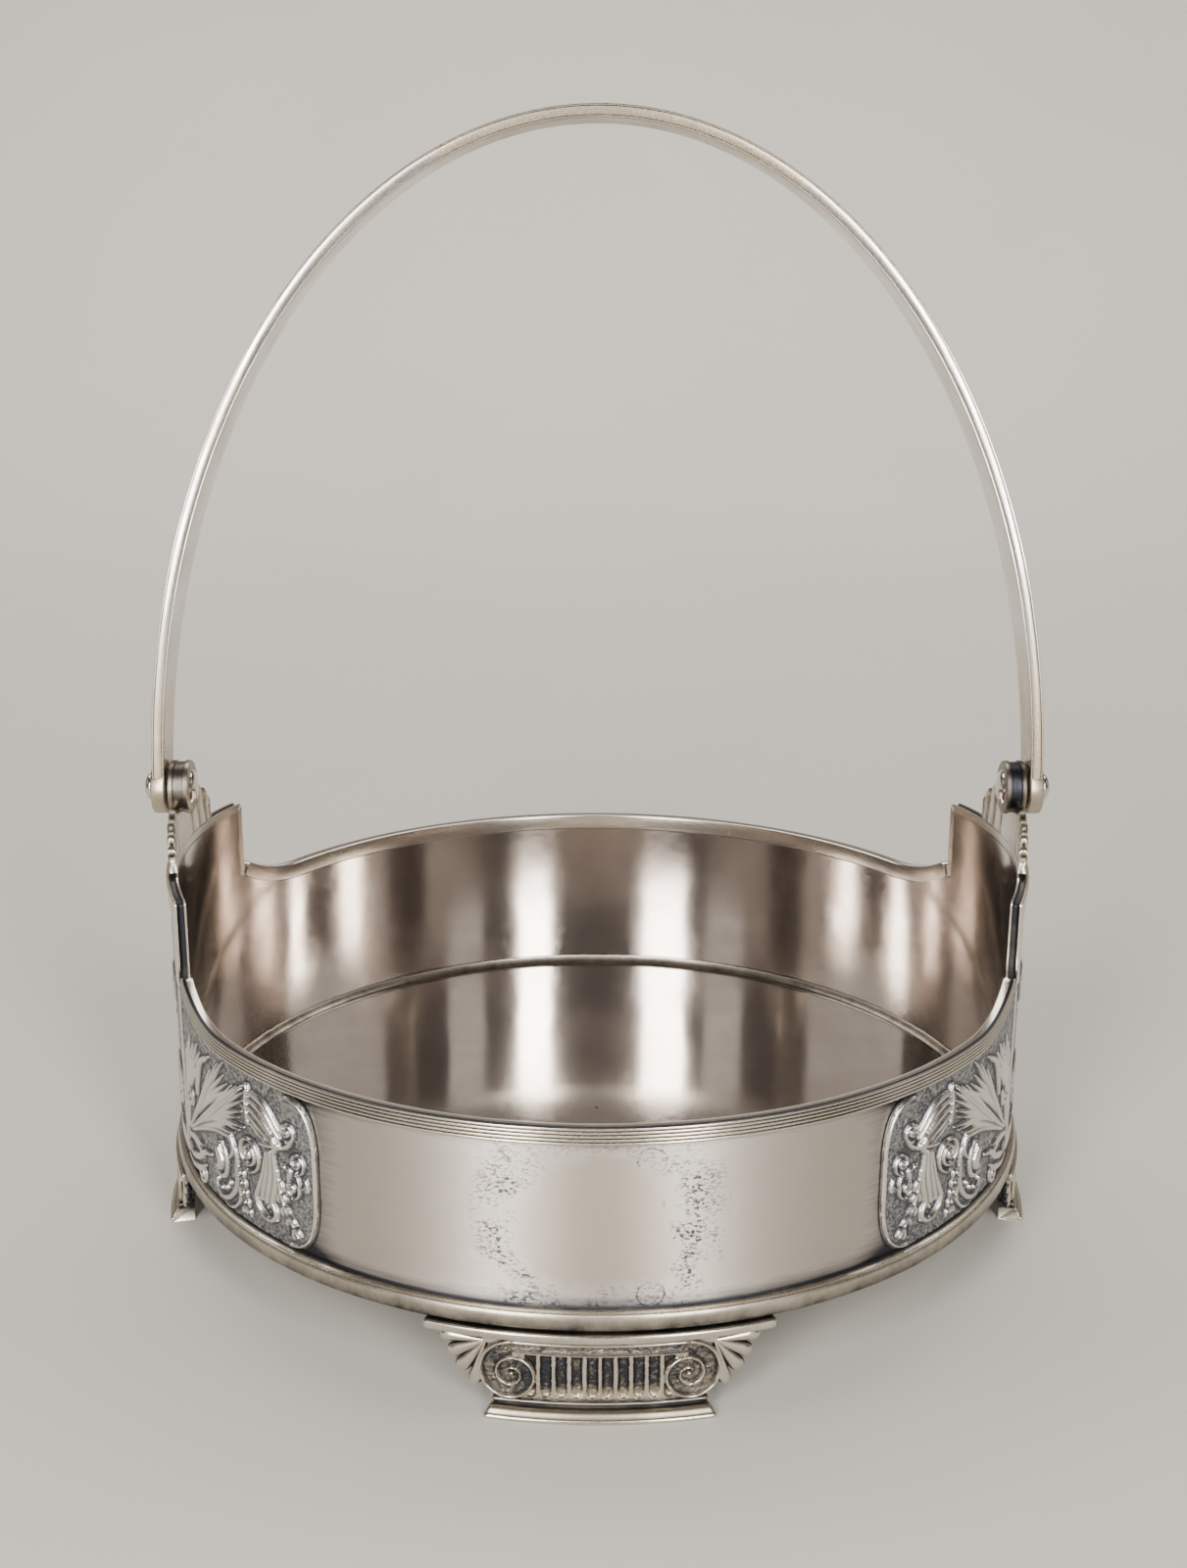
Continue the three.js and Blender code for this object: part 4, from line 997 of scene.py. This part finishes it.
def drawCapital():
    centreAcross, centreUp = foot["voluteAcross"], foot["voluteUp"]
    low, high, deep = foot["canalisLow"], foot["canalisHigh"], foot["canalisDeep"]
    # the silhouette at each height is the outer turn of the volute
    quarters = np.linspace(0, 2.02, 60)
    reach = spiralReach(quarters) + foot["ridgeWidth"]
    edgeUp, edgeAcross = [centre + reach * f(quarters * quarter)
                          for centre, f in ((centreUp, np.cos), (centreAcross, np.sin))]
    shares = 0.5 * (1 - np.cos(np.linspace(0, math.pi, 110))) / 2 + 0.5 * np.linspace(0, 1, 110)
    level = (foot["low"] + (foot["plateTop"] - foot["low"]) * shares)[:, None]
    across = np.interp(level, edgeUp[::-1], edgeAcross[::-1]) * np.linspace(
        -1, 1, int(2 * centreAcross * 1.3 / foot["cell"]))
    height = np.broadcast_to(level, across.shape)
    # flutes with round lower ends
    step = foot["flutePitch"]
    beside = (across / step - np.floor(across / step) - 0.5) * step
    away = np.hypot(beside, np.clip(foot["fluteLow"] - height, 0, None)) / foot["fluteHalf"]
    flute = foot["fluteDeep"] * np.sqrt(np.clip(1 - away ** 2, 0, None)) ** 0.7
    inFlutes = (abs(across) < foot["flutes"] / 2 * step) & (height < low - 0.3)
    rise = np.where(inFlutes, -flute, 0.0)
    # canalis between two fillets
    band = (height - low) / (high - low)
    rise = np.where((band > 0) & (band < 1), -deep * np.sin(math.pi * np.clip(band, 0, 1)) ** 0.6, rise)
    for edge, (off, width) in ((low, foot["lowFillet"]), (high, foot["highFillet"])):
        fillet = foot["fillet"] * np.exp(-((height - edge - off) / width) ** 4)
        rise += fillet * np.clip(centreAcross + 0.5 - abs(across), 0, 1)
    rise = np.where(height > high + 0.75, -0.5, rise)
    # volutes: a ridge on a spiral, the channel beside it, and the eye
    x, y = abs(across) - centreAcross, height - centreUp
    distance = np.hypot(x, y)
    turn = np.mod(np.arctan2(x, y) / quarter, 4)
    inVolute = distance < spiralReach(turn) + foot["ridgeWidth"]
    inVolute &= ~((turn > 3.05) & (y > low - centreUp - 0.2))
    ridges = np.full(across.shape, -deep)
    for lap in range(3):
        quarters = turn + 4 * lap
        width = foot["ridgeWidth"] * (1 - 0.045 * quarters)
        ridge = (deep + foot["ridge"]) * np.exp(-((distance - spiralReach(quarters)) / width) ** 4)
        ridges = np.maximum(ridges, np.where(quarters < foot["spiralQuarters"], ridge, 0) - deep)
    eye = foot["ridge"] * np.sqrt(np.clip(1 - (distance / foot["eye"]) ** 2, 0, None))
    ridges = np.maximum(ridges, np.where(distance < foot["eye"], eye - 0.1, -deep))
    rise = np.where(inVolute, ridges, rise)
    # tarnish fills what is deep, and the lower ends of the flutes are rubbed bright
    grain = blurred(np.random.default_rng(5).normal(size=rise.shape), 1)
    hollow = np.clip((blurred(rise, 3) - rise) / 0.35, 0, 1)
    isDeep = rise < -0.15
    rubbed = np.clip((foot["fluteLow"] + 2.6 - height) / 3.4, 0, 1)
    patinaAndShade = np.where(inFlutes & isDeep, 0.86 - 0.62 * rubbed, 0.72 * isDeep)
    patinaAndShade = np.clip(patinaAndShade + 0.3 * grain * isDeep + 0.3 * hollow, 0, 1)
    return across, height, foot["face"] + rise + 0.12 * grain * (rise < -0.1), patinaAndShade


def shellLobe(direction, length, width, facing, hand):
    # a rounded lobe that widens away from its root, as a closed tube
    turn, root = math.radians(direction), np.array(foot["shell"])
    way, beside = np.array([math.cos(turn), math.sin(turn)]), np.array([-math.sin(turn), math.cos(turn)])
    around, start, widest = np.arange(16) / 16 * 2 * math.pi, foot["lobeRoot"], foot["lobeWidest"]
    sections = []
    for share in (0, 0.15, 0.35, 0.55, 0.72, widest, 0.92, 0.97, 1.0):
        wide = start + (1 - start) * share / widest
        if share >= widest:
            wide = math.sqrt(max(0.02, 1 - ((share - widest) / 0.165) ** 2))
        spots = root + way * length * share + np.outer(np.cos(around) * width * wide, beside)
        deep = foot["lobeDeep"][0] + foot["lobeDeep"][1] * wide
        radii = foot["face"] - foot["lobeBack"] + deep * np.sin(around)
        sections.append(onRound(radii, hand * spots[:, 0], spots[:, 1], facing))
    points, faces = lofted(sections)
    return points, faces, np.tile((np.sin(around) < 0.45) * 0.95, len(sections))


def shellWeb(facing, hand):
    # the thin plate behind the lobes
    directions, reaches = np.array(foot["web"]).T
    turns = np.radians(np.linspace(directions[0], directions[-1], 24))
    reach = np.interp(turns, np.radians(directions), reaches) * np.linspace(0.05, 1, 8)[:, None]
    across, height = foot["shell"][0] + reach * np.cos(turns), foot["shell"][1] + reach * np.sin(turns)
    radii = np.full(across.shape, foot["face"] - foot["webBack"])
    points, faces = reliefPlate(hand * across, height, radii, foot["inner"] + 0.6, facing)
    return points, faces, np.full(len(points), 0.9)


def makeFoot(side, capital):
    facing, inner = facings[side], foot["inner"]
    across, height, radii, patinaAndShade = capital
    parts = [(*reliefPlate(across, height, radii, inner, facing),
              np.concatenate([patinaAndShade.ravel(), np.full(2 * across.shape[1], 0.5)]))]
    for half, front, sole, rows in footBands:
        section = [(inner if back is None else front - back, sole + up, shorter)
                   for back, up, shorter, _ in rows]
        points, faces = sweptBand(section, half, facing)
        parts.append((points, faces, np.tile([row[3] for row in rows], len(points) // len(rows))))
    out, top = foot["face"] - foot["tabBack"], foot["tabTop"]
    for hand in (-1, 1):
        parts += [shellLobe(*lobe, facing, hand) for lobe in foot["shellLobes"]]
        parts.append(shellWeb(facing, hand))
        points, faces = lofted([onRound([inner, out, out, inner], hand * x, [low, low, top, top], facing)
                                for x, low in foot["tab"]])
        parts.append((points, faces, np.zeros(len(points))))
    points, faces = joined([part[:2] for part in parts])
    addPiece(side + "_capital_foot", points, faces, "capital_silver", [side + "_foot"],
             sharp=45, patinaAndShade=np.concatenate([part[2] for part in parts]))


makeFloor()
makeBaseMoulding()
makeWall()
makeRim("front")
makeRim("back")
print("body made")
makePanels()
makePlaques()
print("relief made")
for side in sides:
    makeEarBorder(side)
    makeBracket(side)
    makePins(side)
makeHandle()
print("ears, hinges and handle made")
capital = drawCapital()
for side in facings:
    makeFoot(side, capital)
print("feet made")

# Camera, placed by fitting the ellipses of rim, floor and base ring in the photograph
camera = {"place": (-4.24, -503.5, 268.8), "pitch": 16.76, "yaw": 0.315, "roll": 0.132,
          "focalPixels": 1988.8, "imageHeight": 1600, "sensor": 36.0}


def makeCamera():
    data = bpy.data.cameras.new("camera")
    data.sensor_width = camera["sensor"]
    data.lens = camera["focalPixels"] / camera["imageHeight"] * camera["sensor"]
    data.clip_start = 0.01
    made = bpy.data.objects.new("camera", data)
    bpy.context.collection.objects.link(made)
    made.location = Vector(camera["place"]) * metre
    made.rotation_euler = [math.radians(x) for x in (90 - camera["pitch"], -camera["roll"], -camera["yaw"])]
    bpy.context.scene.camera = made


# Studio: pale floor that turns up into a backdrop, a dark room above, tall lights in front on both sides
studio = {
    "floorColour": (0.58, 0.565, 0.518), "floorCloud": 0.97, "floorRough": 0.9, "halfWidth": 2600.0,
    "front": -2600.0, "back": 1400.0, "bend": 500.0, "height": 2600.0, "paperDark": (0.10, 0.085, 0.078),
    "fadeUp": (445.0, 570.0), "fadeSide": (640.0, 900.0), "fadeSideUp": (50.0, 300.0),
    "roomPale": (0.36, 0.34, 0.31), "roomDark": (0.150, 0.125, 0.114), "roomStrength": 0.62,
    "darkening": (0.09, 0.24), "lightColour": (1.0, 0.97, 0.93),
}


def makeBackdrop():
    back, bend = studio["back"], studio["bend"]
    turn = [(studio["front"], 0.0), (back - bend, 0.0)]
    turn += [(back - bend + bend * math.sin(t), bend - bend * math.cos(t))
             for t in np.linspace(0.1, quarter, 12)]
    turn.append((back, studio["height"]))
    points = [(x, y, z) for y, z in turn for x in (-studio["halfWidth"], studio["halfWidth"])]
    mesh = bpy.data.meshes.new("backdrop")
    mesh.from_pydata((np.array(points) * metre).tolist(), [], gridFaces(len(turn), 2))
    mesh.polygons.foreach_set("use_smooth", [True] * len(mesh.polygons))
    backdrop = bpy.data.objects.new("backdrop", mesh)
    bpy.context.collection.objects.link(backdrop)
    paper = bpy.data.materials.new("pale_backdrop")
    paper.use_nodes = True
    tree = paper.node_tree
    shader = tree.nodes["Principled BSDF"]
    shader.inputs["Roughness"].default_value = studio["floorRough"]
    place = ownPlace(tree)
    cloud = spread(tree, noise(tree, place, 6.0), 0.3, 0.7)
    cloudy = [x * studio["floorCloud"] for x in studio["floorColour"]]
    pale = colourMix(tree, cloud, (*studio["floorColour"], 1), (*cloudy, 1))
    # the paper fades into the dark high up, and beside what the camera sees
    axes = addNode(tree, "ShaderNodeSeparateXYZ", {0: place}).outputs
    side = absolute(tree, axes[0])
    above, beside, raised = [
        spread(tree, where, *[x * metre for x in studio[fade]])
        for where, fade in ((axes[2], "fadeUp"), (side, "fadeSide"), (axes[2], "fadeSideUp"))]
    faded = combine(tree, "MAXIMUM", above, times(tree, beside, raised))
    tree.links.new(colourMix(tree, faded, pale, (*studio["paperDark"], 1)), shader.inputs["Base Color"])
    mesh.materials.append(paper)


lights = {
    "left_tall": {"place": (-430, -1040, 560), "aim": (0, 0, 120), "size": (270, 1000), "power": 17.0},
    "right_tall": {"place": (385, -1040, 560), "aim": (0, 0, 120), "size": (190, 1000), "power": 13.5},
    "left_far": {"place": (-830, -900, 520), "aim": (0, 0, 100), "size": (260, 900), "power": 0.55},
    "right_far": {"place": (850, -900, 520), "aim": (0, 0, 100), "size": (260, 900), "power": 0.55},
    "left_panel": {"place": (-1300, 60, 640), "aim": (0, 60, 60), "size": (900, 560), "power": 0.9},
    "right_panel": {"place": (1300, 60, 640), "aim": (0, 60, 60), "size": (900, 560), "power": 0.9},
    "overhead": {"place": (0, 1050, 1500), "aim": (0, 1400, 300), "size": (2600, 1300), "power": 50.0},
}


def makeLights():
    for name, values in lights.items():
        data = bpy.data.lights.new(name, "AREA")
        data.shape = "RECTANGLE"
        data.size, data.size_y = [x * metre for x in values["size"]]
        data.energy = values["power"]
        data.color = studio["lightColour"]
        made = bpy.data.objects.new(name, data)
        bpy.context.collection.objects.link(made)
        made.visible_camera = False
        made.location = Vector(values["place"]) * metre
        made.rotation_mode = "QUATERNION"
        made.rotation_quaternion = (Vector(values["place"]) - Vector(values["aim"])).to_track_quat("Z", "Y")


def makeWorld():
    # a pale band along the horizon, and a dark room above it
    world = bpy.data.worlds.new("room")
    world.use_nodes = True
    tree = world.node_tree
    way = addNode(tree, "ShaderNodeTexCoord").outputs["Generated"]
    up = addNode(tree, "ShaderNodeSeparateXYZ", {0: way}).outputs[2]
    sky = tree.nodes["Background"]
    shade = spread(tree, up, *studio["darkening"])
    room = colourMix(tree, shade, (*studio["roomPale"], 1), (*studio["roomDark"], 1))
    tree.links.new(room, sky.inputs["Color"])
    sky.inputs["Strength"].default_value = studio["roomStrength"]
    bpy.context.scene.world = world


makeBackdrop()
makeCamera()
makeLights()
makeWorld()
print("studio made")
